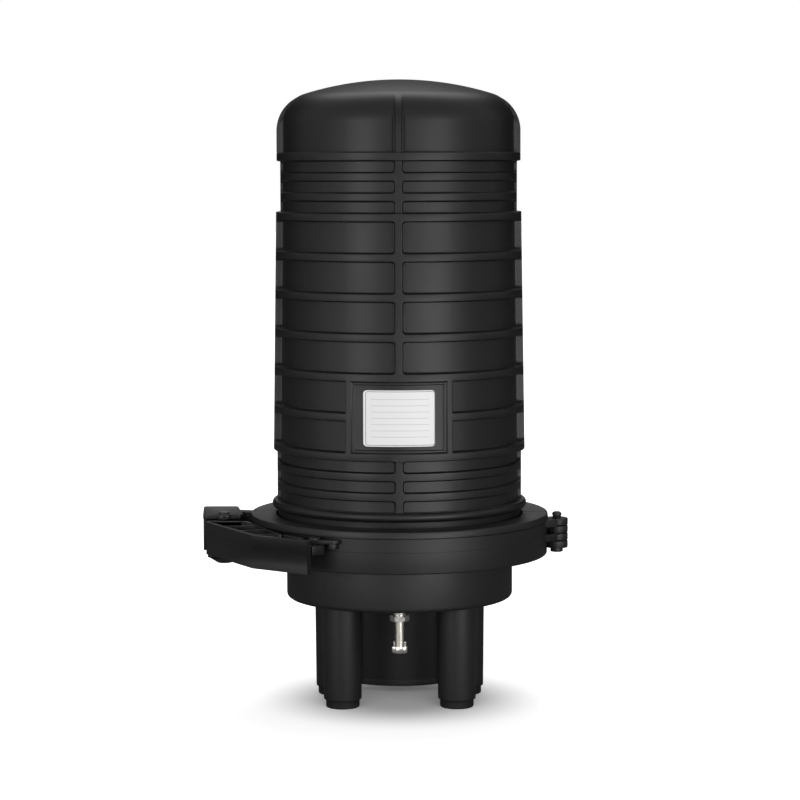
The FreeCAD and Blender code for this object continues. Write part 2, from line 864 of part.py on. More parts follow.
def clevis():
    """Upper and lower plates that carry the lever, joined by a cheek, a back wall and a root."""
    upper_low, upper_high = lever_top + clevis_gap, lever_top + clevis_gap + clevis_plate
    lower_high = lever_low - clevis_gap
    lower_low = lower_high - clevis_lower
    low, high = lower_high - sink, upper_low + sink
    near, back = clevis_cheek_back, clevis_back - clevis_corner
    cheek = plate([(clevis_left(near), pivot_y + near), (clevis_left(back), pivot_y + back),
                   (clevis_left(back) + clevis_wall, pivot_y + back),
                   (clevis_left(near) + clevis_wall, pivot_y + near)], low, high)
    behind = block(clevis_left(back), pivot_x + clevis_root_in, pivot_y + back - clevis_wall,
                   pivot_y + back, low, high)
    root_x, ring_r = pivot_x + clevis_root_in, clamp_wall_r - ear_root
    root = plate([(root_x, pivot_y + clevis_root_back), polar(clevis_near_angle, ring_r),
                  polar(clevis_far_angle, ring_r), (root_x, pivot_y + back)],
                 lower_low, clamp_top - clevis_root_drop)
    hub = post(pivot_x, pivot_y, upper_low, upper_high, clevis_hub_r)
    boss_low = lower_low - clevis_boss_height
    boss = cone(pivot_x, pivot_y, boss_low, lower_low + sink, clevis_boss_r, clevis_boss_top_r)
    upper = plate(clevis_outline(0), upper_low, upper_high)
    lower = plate(clevis_outline(clevis_lower_inset), lower_low, lower_high)
    return joined([upper, lower, hub, boss, cheek, behind, root])


def clamp_half_rear():
    """The half ring at the back, with the clevis that carries the latch's lever."""
    half = clamp_ring().common(half_space(1))
    bracket = clevis().cut(post(0, 0, 0, far, clamp_wall_r - sink))
    solid = with_hinge(joined([half, bracket]), 1)
    return solid.cut(post(pivot_x, pivot_y, 0, far, pivot_pin_r + pin_clearance))


# Latch

def lever_heel(low, high):
    """One of the lever's two heel plates, round the lever's pivot and the link's pivot."""
    side_x, side_y = pivot_x - side_out, pivot_y - side_forward
    body = plate([
        (side_x, side_y),
        (pivot_x + heel_right, side_y),
        (pivot_x + heel_r, pivot_y),
        (pivot_x, pivot_y),
        (link_x, link_y),
        (side_x, link_y),
    ], low, high)
    return joined([body, post(pivot_x, pivot_y, low, high, heel_r),
                   post(link_x, link_y, low, high, link_boss_r)])


def lever():
    """The long latch lever: a wall with two flats, a floor and cross ribs, open towards the ring."""
    lug_x, lug_y = lug_place()
    side = V(pivot_x - side_out, pivot_y - side_forward, 0)
    elbow = V(lug_x - elbow_out, lug_y + elbow_back, 0)
    end = V(lug_x - tab_out, lug_y - tab_forward, 0)
    along = (elbow - side).normalize()
    inward = V(-along.y, along.x, 0)
    tab = (end - elbow).normalize()
    tab_inward = V(-tab.y, tab.x, 0)
    bisector = (inward + tab_inward).normalize()
    mitre = elbow + bisector * (lever_wall / math.cos(inward.getAngle(tab_inward) / 2))
    side_in = side + inward * lever_wall
    end_in = end + tab_inward * lever_tab_wall
    wall = plate([(p.x, p.y) for p in (side, elbow, end, end_in, mitre, side_in)], lever_low, lever_top)
    cheek = block(side.x, side.x + lever_wall, side.y, pivot_y + over, lever_low, lever_top)
    floor_in = elbow + inward * floor_width
    heel = V(pivot_x + heel_right, side.y, 0)
    floor = plate([(p.x, p.y) for p in (side, elbow, floor_in, heel)], lever_low, lever_low + lever_floor)
    ribs = []
    for index in range(lever_rib_count):
        start = side + along * (lever_rib_start + index * lever_rib_pitch)
        tip = start + inward * lever_rib_depth(start, inward)
        thick = along * lever_rib
        ribs.append(plate([(p.x, p.y) for p in (start, tip, tip + thick, start + thick)],
                          lever_low, lever_top - lever_rib_drop))
    heels = [lever_heel(lever_low, link_low - level_gap), lever_heel(link_top + level_gap, lever_top)]
    solid = joined([wall, cheek, floor] + ribs + heels + lever_rail(side, elbow, along, inward))
    solid = solid.cut(post(pivot_x, pivot_y, 0, far, pivot_pin_r + pin_clearance))
    return solid.cut(post(link_x, link_y, 0, far, link_pin_r + pin_clearance))


def lever_rail(side, elbow, along, inward):
    """The rail along the lever's inner side and its ties to the wall, all above the link."""
    low, high = link_top + level_gap, lever_top
    start = V(*polar(rail_start_angle, clamp_wall_r + rail_start_reach), 0)
    end = V(*polar(rail_end_angle, clamp_wall_r + rail_end_reach), 0)
    heading = (end - start).normalize()
    thick = V(-heading.y, heading.x, 0) * rail_wall
    bars = [(start, end, thick)]
    for index in range(rail_tie_count):
        share = (index + 1) / rail_tie_count
        on_rail = start + (end - start) * share - heading * rail_tie_inset + thick / 2
        on_wall = side + (elbow - side) * share + inward * (lever_wall / 2)
        bars.append((on_wall, on_rail, along * rail_wall * -1))
    foot = start + heading * rail_tie_inset + thick / 2
    bars.append((V(pivot_x, pivot_y, 0), foot, heading * rail_wall * 2))
    return [plate([(p.x, p.y) for p in (a, b, b + t, a + t)], low, high) for a, b, t in bars]


def lever_rib_depth(start, inward):
    """How far a cross rib reaches inwards before it would touch the link."""
    depth = lever_rib_least
    clear = link_thickness / 2 + lever_rib_gap
    while link_distance(start + inward * depth) > clear and depth < lever_rib_most:
        depth += lever_rib_gap / 6
    return depth


def link_line():
    """The link's centre line in plan, from its eye to the hook, bowed out round the ring."""
    start = V(link_x, link_y, 0)
    along = V(*lug_place(), 0) - start
    length = along.Length
    along.normalize()
    outward = V(along.y, -along.x, 0)
    places = [(0, 0), (link_first, link_first_bow), (link_second, link_bow)]
    places.append((length - link_last, link_last_bow))
    places.append((length + lug_pin_r + link_slack + link_thickness,
                   lug_pin_r + level_gap + link_thickness / 2))
    return [start + along * s + outward * w for s, w in places], along, outward


def link_distance(point):
    """Distance in plan from a point to the link's centre line."""
    line = link_line()[0]
    nearest = far
    for a, b in zip(line, line[1:]):
        span = b - a
        share = max(0.0, min(1.0, (point - a).dot(span) / span.dot(span)))
        nearest = min(nearest, (point - (a + span * share)).Length)
    return nearest


def strip(line, low, high):
    """A bar of the link's thickness that follows a line in plan, with rounded bends."""
    half = link_thickness / 2
    sides = ([], [])
    for i, here in enumerate(line):
        before = (here - line[i - 1]).normalize() if i else None
        after = (line[i + 1] - here).normalize() if i + 1 < len(line) else None
        before = before or after
        after = after or before
        normal = V(-(before.y + after.y), before.x + after.x, 0).normalize()
        stretch = half / normal.dot(V(-before.y, before.x, 0))
        radius = link_bend_r if 0 < i < len(line) - 1 else 0
        sides[0].append((here.x + normal.x * stretch, here.y + normal.y * stretch, radius))
        sides[1].append((here.x - normal.x * stretch, here.y - normal.y * stretch, radius))
    return plate(sides[0] + sides[1][::-1], low, high)


def draw_link():
    """The link that pulls the halves together: an eye, a bowed strap and an open hook."""
    line, along, outward = link_line()
    strap = strip(line, link_low, link_top)
    last = line[4] - line[3]
    tall = strip([line[3] + last * link_tall_start, line[3] + last * link_tall_end],
                 link_low, lever_top - link_tall_gap)
    eye = post(link_x, link_y, link_low, link_top, link_eye_r)
    half = along * (link_thickness / 2)
    bill_start = line[-1] - half + outward * (link_thickness / 2)
    bill_end = bill_start - outward * (2 * lug_pin_r + link_thickness + level_gap)
    bill_corners = (bill_start - half, bill_end - half, bill_end + half, bill_start + half)
    bill = plate([(p.x, p.y) for p in bill_corners], link_low, link_top)
    solid = joined([strap, tall, eye, bill])
    return solid.cut(post(link_x, link_y, 0, far, link_pin_r + pin_clearance))


def headed_pin(x, y, low, high, radius, head_r):
    """A pin with a chamfered head on its upper end."""
    top = high + pin_head_height
    edge_z = top - pin_head_edge
    rim = cone(x, y, edge_z, top, head_r, head_r - pin_head_edge)
    return joined([post(x, y, low, high + sink, radius), post(x, y, high, edge_z, head_r), rim])


def pivot_pins():
    """Two short pins on one axis, through the clevis plates into the lever's heel plates."""
    upper_face = lever_top + clevis_gap + clevis_plate
    lower_face = lever_low - clevis_gap - clevis_lower - clevis_boss_height
    upper = headed_pin(pivot_x, pivot_y, link_top + 2 * level_gap, upper_face, pivot_pin_r, pin_head_r)
    lower = post(pivot_x, pivot_y, lower_face, link_low - 2 * level_gap, pivot_pin_r)
    return Part.makeCompound([upper, lower])


def link_pin():
    return post(link_x, link_y, lever_low + link_pin_sink, lever_top - link_pin_sink, link_pin_r)


def lug_pin():
    high = link_top + level_gap + ear_thickness
    return headed_pin(*lug_place(), link_low - level_gap, high, lug_pin_r, lug_pin_r + lug_head)


# Air valve

def valve_body():
    """The valve's stem, with a head inside the drum and a bore for the core."""
    head_low = floor_z + valve_washer_height
    head_top = head_low + valve_head_height
    stem = post(0, valve_y, drum_z - stem_drop, head_low + over, stem_r)
    head = post(0, valve_y, head_low, head_top, valve_head_r)
    return joined([stem, head]).cut(post(0, valve_y, 0, head_top - valve_head_wall, stem_bore_r))


def valve_washer():
    high = floor_z + valve_washer_height
    ring = post(0, valve_y, floor_z, high, valve_head_r)
    return ring.cut(post(0, valve_y, floor_z - over, high + over, stem_r + stem_hole_gap))


def valve_nut():
    """A hexagon nut with a round spigot that bears on the drum."""
    nut_high = drum_z - nut_spigot_height
    corner_r = nut_flats / math.sqrt(3)
    points = [(corner_r * math.cos(math.radians(60 * i)), valve_y + corner_r * math.sin(math.radians(60 * i)))
              for i in range(6)]
    hexagon = plate(points, nut_high - nut_height, nut_high)
    spigot = post(0, valve_y, nut_high - sink, drum_z, nut_spigot_r)
    return joined([hexagon, spigot]).cut(post(0, valve_y, 0, drum_z + over, stem_r + pin_clearance))


def valve_core():
    stem_end = drum_z - stem_drop
    pin = post(0, valve_y, stem_end + core_inset, stem_end + core_length, core_r)
    collar_z0 = stem_end + core_collar_start
    return joined([pin, post(0, valve_y, collar_z0, collar_z0 + core_collar_length, stem_bore_r)])


def valve_cap():
    """The screwed cap: a ring with a floor, and two prongs that unscrew the valve's core."""
    low = drum_z - stem_drop - cap_floor
    ring_high = low + cap_ring_height
    high = ring_high + cap_prong_height
    half = cap_prong_width / 2
    ring = post(0, valve_y, low, ring_high, cap_ring_r)
    sleeve = post(0, valve_y, ring_high - sink, high, cap_prong_r)
    prongs = sleeve.common(block(-far, far, valve_y - half, valve_y + half, 0, far))
    return joined([ring, prongs]).cut(post(0, valve_y, low + cap_floor, high + over, stem_r + cap_clearance))


# Cross plate and cable anchors

def bench_plate():
    """The cross plate on the drum's two bosses, which carries the frame and cable anchors."""
    low, high = bench_boss_y - bench_half_width, bench_boss_y + bench_half_width
    solid = plate(corners(bench_boss_x + bench_end, low, high, bench_corner), bench_z, bench_top)
    holes = [post(side * x, bench_boss_y, bench_z - over, bench_top + over, screw_r + screw_hole_gap)
             for side in (-1, 1) for x in (bench_boss_x, anchor_x)]
    return solid.cut(holes)


def bench_screws():
    """The two screws that hold the cross plate on its bosses."""
    screws = []
    for x in (-bench_boss_x, bench_boss_x):
        shank = post(x, bench_boss_y, bench_top - screw_length, bench_top + sink, screw_r - screw_play)
        head = post(x, bench_boss_y, bench_top, bench_top + screw_head_height, screw_head_r)
        screws.append(shank.fuse(head))
    return Part.makeCompound(screws)


def cable_anchor(side):
    """A post with a slotted saddle that grips a cable's strength member."""
    x = side * anchor_x
    y0, y1 = bench_boss_y - bench_half_width, bench_boss_y + anchor_back
    high = bench_top + anchor_height
    body = block(x - anchor_half, x + anchor_half, y0, y1, bench_top, high)
    slot = block(x - anchor_slot / 2, x + anchor_slot / 2, y0 - over, y1 + over,
                 high - anchor_slot_depth, high + over)
    hole = post(x, bench_boss_y, bench_top - over, bench_top + anchor_hole_depth, screw_r)
    return body.cut([slot, hole])


def anchor_screws():
    """Screws from below that hold the two cable anchors on the cross plate."""
    screws = []
    for x in (-anchor_x, anchor_x):
        shank = post(x, bench_boss_y, bench_z - sink, bench_top + anchor_screw_length, screw_r - screw_play)
        screws.append(shank.fuse(post(x, bench_boss_y, bench_z - screw_head_height, bench_z, screw_head_r)))
    return Part.makeCompound(screws)


# Frame and trays

def support_frame():
    """One folded sheet: a back panel with a window, side flanges and two feet."""
    high = apex_z - frame_top_gap
    back = frame_y + frame_thickness
    sheet = block(-frame_half, frame_half, frame_y, back, bench_top, high)
    half = frame_half - frame_window_inset
    hole = block(-half, half, frame_y - over, back + over, bench_top + frame_window_margin,
                 high - frame_window_margin)
    folds = []
    for side in (-1, 1):
        edge, inner = side * frame_half, side * (frame_half - frame_thickness)
        folds.append(block(min(edge, inner), max(edge, inner), frame_y, frame_y + frame_flange,
                           bench_top + frame_side_rise, high))
        foot_x = side * (anchor_x + frame_foot_gap)
        folds.append(block(foot_x - frame_foot, foot_x + frame_foot, frame_y - frame_foot_depth, back,
                           bench_top, bench_top + frame_thickness))
    return joined([sheet.cut(hole)] + folds)


def tray_back(index):
    return tray_front_y - index * tray_pitch


def rod(y, radius, half_length):
    """A round bar along X at the height of the trays' hinges."""
    return Part.makeCylinder(radius, 2 * half_length, V(-half_length, y, tray_z - rod_drop), V(1, 0, 0))


def splice_tray(index):
    """A shallow moulded tray with a rim, two fibre spools, a splice comb and hinge eyes."""
    back = tray_back(index)
    front = back - tray_thickness
    middle = (front + back) / 2
    floor_y = back - tray_wall
    high = tray_z + tray_height
    outer = panel(corners(tray_half, tray_z, high, tray_corner), front, back)
    inner = corners(tray_half - tray_wall, tray_z + tray_wall, high - tray_wall, tray_corner - tray_wall)
    solid = outer.cut(panel(inner, front - over, floor_y))
    mid_z = tray_z + tray_height / 2
    parts = []
    for offset in (-spool_offset, spool_offset):
        start = V(0, front + spool_drop, mid_z + offset)
        length = floor_y - start.y + sink
        spool = Part.makeCylinder(spool_r, length, start, V(0, 1, 0))
        parts.append(spool.cut(Part.makeCylinder(spool_r - spool_wall, length, start, V(0, 1, 0))))
    for i in range(tooth_count):
        x = (i - (tooth_count - 1) / 2) * tooth_pitch
        parts.append(block(x - tooth_width / 2, x + tooth_width / 2, front + tooth_drop, floor_y + sink,
                           mid_z - tooth_half_length, mid_z + tooth_half_length))
    for side in (-1, 1):
        x0 = side * (comb_width / 2 + eye_gap + eye_width / 2) - eye_width / 2
        parts.append(Part.makeCylinder(eye_r, eye_width, V(x0, middle, tray_z - rod_drop), V(1, 0, 0)))
        parts.append(block(x0, x0 + eye_width, middle - eye_neck / 2, middle + eye_neck / 2,
                           tray_z - rod_drop, tray_z + over))
    return joined([solid] + parts).cut(rod(middle, rod_r + rod_gap, tray_half))


def tray_comb():
    """The hinge comb on the frame that the trays hang on, one hole for each tray's rod."""
    half = comb_width / 2
    deep = tray_back(tray_count - 1) - tray_thickness - comb_lip
    low = tray_z - comb_drop
    solid = block(-half, half, deep, frame_y, low, tray_z - comb_top_gap)
    hollow = block(-half + comb_cheek, half - comb_cheek, deep - over, bench_boss_y - comb_back,
                   low - over, tray_z)
    holes = [rod(tray_back(index) - tray_thickness / 2, rod_r + rod_gap, comb_width)
             for index in range(tray_count)]
    foot = block(-comb_foot_half, comb_foot_half, bench_boss_y - comb_foot_front, frame_y,
                 low - comb_foot_drop, low - comb_foot_drop + comb_foot_height)
    return joined([solid.cut([hollow] + holes), foot])


def tray_rods():
    half = comb_width / 2 + rod_end
    return Part.makeCompound([rod(tray_back(index) - tray_thickness / 2, rod_r, half)
                              for index in range(tray_count)])


def tray_lid():
    """The clear cover on the front tray."""
    outline = corners(tray_half - lid_inset, tray_z + lid_inset, tray_z + tray_height - lid_inset,
                      tray_corner)
    return panel(outline, stack_y, stack_y + lid_thickness)


def slack_basket():
    """The open store behind the frame for spare buffer tube."""
    y0, y1 = basket_y, basket_y + basket_depth
    half = frame_half - frame_thickness - basket_gap
    high = basket_z + basket_height
    shell = block(-half, half, y0, y1, basket_z, high)
    inside = block(-half + basket_wall, half - basket_wall, y0 + basket_wall, y1 - basket_wall,
                   basket_z + basket_wall, high + over)
    vents = []
    for i in range(vent_count):
        x = (i - (vent_count - 1) / 2) * vent_pitch
        vents.append(block(x - vent_width / 2, x + vent_width / 2, y1 - basket_wall - over, y1 + over,
                           basket_z + vent_low, high - vent_top))
    return shell.cut([inside] + vents)


def tray_strap():
    """The hook-and-loop strap round the trays and the basket."""
    front = stack_y - strap_gap
    back = basket_y + basket_depth + strap_gap
    half = max(tray_half, frame_half) + strap_gap
    t = strap_thickness
    low = tray_z + strap_rise
    high = low + strap_width
    outer = plate(corners(half + t, front - t, back + t, strap_corner), low, high)
    return outer.cut(plate(corners(half, front, back, strap_corner - t), low - over, high + over))


def main():
    os.makedirs("parts", exist_ok=True)
    save("dome_cover", dome_cover())
    save("label", label())
    save("base", base())
    save("seal_ring", seal_ring())
    save("clamp_half_front", clamp_half_front())
    save("clamp_half_rear", clamp_half_rear())
    save("hinge_pin", hinge_pin())
    save("latch_lever", lever())
    save("draw_link", draw_link())
    save("lever_pivot_pins", pivot_pins())
    save("link_pin", link_pin())
    save("lug_pin", lug_pin())
    save("valve_body", valve_body())
    save("valve_washer", valve_washer())
    save("valve_nut", valve_nut())
    save("valve_core", valve_core())
    save("valve_cap", valve_cap())
    save("bench_plate", bench_plate())
    save("bench_screws", bench_screws())
    save("support_frame", support_frame())
    save("cable_anchor_left", cable_anchor(-1))
    save("cable_anchor_right", cable_anchor(1))
    save("anchor_screws", anchor_screws())
    save("tray_comb", tray_comb())
    save("tray_rods", tray_rods())
    for index in range(tray_count):
        save("splice_tray_" + str(index + 1), splice_tray(index))
    save("tray_lid", tray_lid())
    save("slack_basket", slack_basket())
    save("tray_strap", tray_strap())


main()
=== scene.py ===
# %% [markdown]
# # Dome splice closure
# Fibre cables are joined inside this closure, on a pole or in a chamber. A ribbed
# plastic dome stands on a base with closed cable ports, and a hinged clamp ring with
# a latch holds the two on a seal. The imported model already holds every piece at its
# size and place. This script adds what the eye sees: rounded edges, moulded ribs,
# satin plastic, plated metal, and a plain studio.

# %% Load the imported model
import json
import math
from functools import partial
from math import radians

import bmesh
import bpy
from mathutils import Matrix, Vector


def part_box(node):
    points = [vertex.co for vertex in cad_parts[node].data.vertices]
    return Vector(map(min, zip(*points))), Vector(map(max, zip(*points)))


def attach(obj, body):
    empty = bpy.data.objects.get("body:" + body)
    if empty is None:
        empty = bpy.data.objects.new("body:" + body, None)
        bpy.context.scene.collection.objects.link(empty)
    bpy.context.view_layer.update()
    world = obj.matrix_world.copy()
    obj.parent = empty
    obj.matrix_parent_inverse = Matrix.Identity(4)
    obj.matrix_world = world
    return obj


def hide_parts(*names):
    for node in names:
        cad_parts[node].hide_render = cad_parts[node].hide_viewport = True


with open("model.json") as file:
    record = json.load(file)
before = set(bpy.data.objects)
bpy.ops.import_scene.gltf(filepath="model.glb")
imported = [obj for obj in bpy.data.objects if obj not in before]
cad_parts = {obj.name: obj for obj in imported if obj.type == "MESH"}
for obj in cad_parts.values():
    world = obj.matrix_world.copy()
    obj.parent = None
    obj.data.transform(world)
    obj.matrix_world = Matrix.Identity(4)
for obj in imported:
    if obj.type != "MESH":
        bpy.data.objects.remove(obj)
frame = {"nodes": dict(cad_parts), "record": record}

scene = bpy.context.scene
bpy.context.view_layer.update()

# %% [markdown]
# ## Camera
# A product photograph like this is taken with a long lens from well back, so that
# upright lines stay nearly parallel. The closure's crown, ring ribs and port tips
# show how high the lens stood: a little below the crown, looking slightly down.

# %% Camera
camera_distance = 1.724
camera_height = 0.367
camera_side = 0.0006
camera_pitch = 5.328
camera_roll = -0.14

camera_data = bpy.data.cameras.new("camera")
camera_data.lens = 114.1
camera_data.sensor_width = 36.0
camera_data.clip_start = 0.05
camera_data.clip_end = 60.0
camera = bpy.data.objects.new("camera", camera_data)
scene.collection.objects.link(camera)
place = Matrix.Translation((camera_side, -camera_distance, camera_height))
tilt = Matrix.Rotation(radians(90 - camera_pitch), 4, "X")
camera.matrix_world = place @ tilt @ Matrix.Rotation(radians(camera_roll), 4, "Z")
scene.camera = camera

# %% [markdown]
# ## Helpers for shapes
# Every piece is modelled in millimetres at its place and made metres at the end. Most
# are turned about an axis or cut from a plate: one helper spins an outline, another
# gives an outline thickness and breaks its edges. Moulded plastic and pressed metal
# never have a knife-sharp edge, and it is the small bevels that catch the light.

# %% Outlines and finished pieces
MM = 0.001
SHARP = radians(38)


def rounded(corners, steps=4, closed=True):
    """Corners (u, v) or (u, v, radius) as points, with an arc at each rounded corner."""
    points = []
    last = len(corners) - 1
    for i, corner in enumerate(corners):
        here = Vector(corner[:2])
        radius = corner[2] if len(corner) > 2 else 0
        if not radius or (not closed and i in (0, last)):
            points.append(here)
            continue
        before = (Vector(corners[i - 1][:2]) - here).normalized()
        after = (Vector(corners[(i + 1) % len(corners)][:2]) - here).normalized()
        half = before.angle(after) / 2
        centre = here + (before + after).normalized() * (radius / math.sin(half))
        first = before * (radius / math.tan(half)) + here - centre
        final = after * (radius / math.tan(half)) + here - centre
        turn = math.atan2(first.x * final.y - first.y * final.x, first.dot(final))
        angle = math.atan2(first.y, first.x)
        for k in range(steps + 1):
            a = angle + turn * k / steps
            points.append(centre + Vector((math.cos(a), math.sin(a))) * radius)
    return points


def mesh_of(bm, name="shape"):
    """A mesh with what the bmesh holds. The bmesh is freed."""
    mesh = bpy.data.meshes.new(name)
    bm.to_mesh(mesh)
    bm.free()
    return mesh


def placed(name, data):
    """A new object in the scene."""
    thing = bpy.data.objects.new(name, data)
    scene.collection.objects.link(thing)
    return thing


def together(*shapes):
    """Several closed shapes in one bmesh."""
    whole = bmesh.new()
    for shape in shapes:
        mesh = mesh_of(shape)
        whole.from_mesh(mesh)
        bpy.data.meshes.remove(mesh)
    return whole


def piece(name, bm, body, slot, *nodes, sharp=SHARP):
    """A bmesh in millimetres becomes a piece that rides on a body and stands for nodes."""
    bmesh.ops.recalc_face_normals(bm, faces=bm.faces)
    bmesh.ops.scale(bm, vec=(MM, MM, MM), verts=bm.verts)
    mesh = mesh_of(bm, name)
    mesh.shade_smooth()
    mesh.set_sharp_from_angle(angle=sharp)
    mesh.materials.append(finishes[slot])
    thing = placed(name, mesh)
    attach(thing, body)
    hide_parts(*nodes)
    print(name, len(mesh.polygons), "faces")


# %% Turned and plate shapes
def only(kind, geometry):
    return [item for item in geometry if isinstance(item, kind)]


def chain(bm, outline, closed=False):
    """Vertices at (r, z) points in the plane of X and Z, and the edges between them."""
    verts = [bm.verts.new((r, 0, z)) for r, z in outline]
    following = verts[1:] + verts[:1] if closed else verts[1:]
    return verts, [bm.edges.new(pair) for pair in zip(verts, following)]


def spin(bm, geometry, degrees, steps, **more):
    """A spin about the upright axis through the origin."""
    return bmesh.ops.spin(bm, geom=geometry, cent=(0, 0, 0), axis=(0, 0, 1),
                          angle=radians(degrees), steps=steps, **more)


def move(bm, verts, x=0, y=0, z=0):
    bmesh.ops.translate(bm, verts=verts, vec=(x, y, z))


def merge(bm, within):
    bmesh.ops.remove_doubles(bm, verts=bm.verts, dist=within)


def spun(outline, centre=(0, 0), steps=96, closed=True, start=0, sweep=360):
    """An outline of (r, z) points turned about an upright axis."""
    bm = bmesh.new()
    verts, edges = chain(bm, outline, closed)
    turn = Matrix.Rotation(radians(start), 3, "Z")
    bmesh.ops.rotate(bm, verts=verts, cent=(0, 0, 0), matrix=turn)
    whole = sweep == 360
    made = spin(bm, verts + edges, sweep, steps, use_merge=whole)
    if not whole:
        bmesh.ops.contextual_create(bm, geom=edges)
        bmesh.ops.contextual_create(bm, geom=only(bmesh.types.BMEdge, made["geom_last"]))
    merge(bm, 0.001)
    move(bm, bm.verts, *centre)
    return bm


def break_edges(bm, edges, width, clamp=True):
    """Edges become small bevels of two facets."""
    bmesh.ops.bevel(bm, geom=edges, offset=width, segments=2, profile=0.5,
                    affect="EDGES", material=-1, clamp_overlap=clamp)


def split_at(bm, point, normal):
    """New edges where a plane passes through the shape."""
    bmesh.ops.bisect_plane(bm, geom=bm.verts[:] + bm.edges[:] + bm.faces[:],
                           plane_co=point, plane_no=normal)


def slab(outline, low, high, edge=0.4):
    """An outline in plan with thickness, its sharp edges broken."""
    bm = bmesh.new()
    face = bm.faces.new([bm.verts.new((x, y, low)) for x, y in outline])
    made = bmesh.ops.extrude_face_region(bm, geom=[face])
    move(bm, only(bmesh.types.BMVert, made["geom"]), z=high - low)
    bmesh.ops.recalc_face_normals(bm, faces=bm.faces)
    if edge:
        break_edges(bm, [e for e in bm.edges if e.calc_face_angle(0) > SHARP], edge)
    return bm


def turned(corners, arc_steps=3, centre=(0, 0), steps=48):
    """A solid turned from corners that begin and end on the axis."""
    return spun(rounded(corners, arc_steps, closed=False), centre, steps, closed=False)


def disc(x, y, low, high, radius, edge=0.3):
    """A short upright cylinder with rounded rims."""
    corners = [(0, low), (radius, low, edge), (radius, high, edge), (0, high)]
    return turned(corners, centre=(x, y))


def hull(circles, low, high, edge=0.4, steps=14):
    """A plate round two circles (x, y, radius), with straight sides between them."""
    (x0, y0, r0), (x1, y1, r1) = circles
    heading = math.atan2(y1 - y0, x1 - x0)
    spread = math.acos((r0 - r1) / math.hypot(x1 - x0, y1 - y0))
    arcs = ((x1, y1, r1, -spread, spread), (x0, y0, r0, spread, 2 * math.pi - spread))
    outline = []
    for x, y, r, first, final in arcs:
        for k in range(steps + 1):
            a = heading + first + (final - first) * k / steps
            outline.append((x + r * math.cos(a), y + r * math.sin(a)))
    return slab(outline, low, high, edge)


# %% [markdown]
# ## Finishes
# Black moulded plastic is hardly a colour at all. What the eye reads is how it
# reflects: a satin skin, a fine grain from the mould, and slow changes of gloss
# where the melt flowed. Grain and slow change are used by several materials, so each
# is a node group with its own inputs.

# %% Nodes
def give(tree, node, values):
    """Sets numbers and colours on a node's inputs, and links what other nodes give."""
    for name, value in values.items():
        if isinstance(value, bpy.types.NodeSocket):
            tree.links.new(value, node.inputs[name])
        else:
            node.inputs[name].default_value = value


def add(tree, kind, inputs={}, **settings):
    """A new node. Its settings come first, because they can change its inputs."""
    node = tree.nodes.new(kind)
    for name, value in settings.items():
        setattr(node, name, value)
    give(tree, node, inputs)
    return node


def math_node(tree, operation, *values):
    """A Math node whose inputs are numbers or sockets."""
    inputs = dict(enumerate(values))
    return add(tree, "ShaderNodeMath", inputs, operation=operation).outputs[0]


def own_place(tree):
    """A point's place in its own object."""
    return add(tree, "ShaderNodeTexCoord").outputs["Object"]


def colour_mix(tree, share, first, second):
    """The first colour at share 0 and the second at share 1."""
    inputs = {"Factor": share, "A": (*first, 1), "B": (*second, 1)}
    return add(tree, "ShaderNodeMix", inputs, data_type="RGBA").outputs["Result"]


# %% Node groups for grain and slow change
def new_group(name, inputs, output):
    """An empty shader node group with number inputs and one number output."""
    group = bpy.data.node_groups.new(name, "ShaderNodeTree")
    for label, value in inputs.items():
        socket = group.interface.new_socket(
            name=label, in_out="INPUT", socket_type="NodeSocketFloat")
        socket.default_value = value
    group.interface.new_socket(name=output, in_out="OUTPUT", socket_type="NodeSocketFloat")
    given = group.nodes.new("NodeGroupInput")
    return group, given.outputs, group.nodes.new("NodeGroupOutput")


def noise(tree, place, scale, detail):
    inputs = {"Vector": place, "Scale": scale, "Detail": detail}
    return add(tree, "ShaderNodeTexNoise", inputs).outputs["Fac"]


def grain_group():
    """Fine pits and bumps from a spark-eroded mould."""
    tree, given, out = new_group("mould_grain", {"Scale": 2600.0, "Depth": 1.0}, "Height")
    place = own_place(tree)
    fine = noise(tree, place, given["Scale"], 2.0)
    cells = add(tree, "ShaderNodeTexVoronoi", {"Vector": place, "Scale": given["Scale"]})
    both = math_node(tree, "MULTIPLY_ADD", cells.outputs["Distance"], 0.5, fine)
    give(tree, out, {"Height": math_node(tree, "MULTIPLY", both, given["Depth"])})
    return tree


def drift_group():
    """Slow change over the surface, about zero, from flow marks and handling."""
    tree, given, out = new_group("slow_drift", {"Scale": 14.0, "Amount": 0.1}, "Drift")
    slow = noise(tree, own_place(tree), given["Scale"], 3.0)
    centred = math_node(tree, "SUBTRACT", slow, 0.5)
    give(tree, out, {"Drift": math_node(tree, "MULTIPLY", centred, given["Amount"])})
    return tree


GRAIN = grain_group()
DRIFT = drift_group()


# %% Materials built on the groups
def drifting(tree, value, scale, amount):
    """A value that drifts slowly over the surface."""
    inputs = {"Scale": scale, "Amount": amount}
    drift = add(tree, "ShaderNodeGroup", inputs, node_tree=DRIFT)
    return math_node(tree, "ADD", drift.outputs["Drift"], value)


def tinted(tree, dark, light, scale):
    """A colour that drifts between two close ones."""
    return colour_mix(tree, drifting(tree, 0.5, scale, 1.6), dark, light)


def grained(tree, scale, strength, depth):
    """A normal that follows the grain. The depth is in metres."""
    height = add(tree, "ShaderNodeGroup", {"Scale": scale}, node_tree=GRAIN).outputs["Height"]
    inputs = {"Strength": strength, "Distance": depth, "Height": height}
    return add(tree, "ShaderNodeBump", inputs).outputs["Normal"]


def new_material(name):
    material = bpy.data.materials.new(name)
    material.use_nodes = True
    tree = material.node_tree
    return material, tree, tree.nodes["Principled BSDF"]


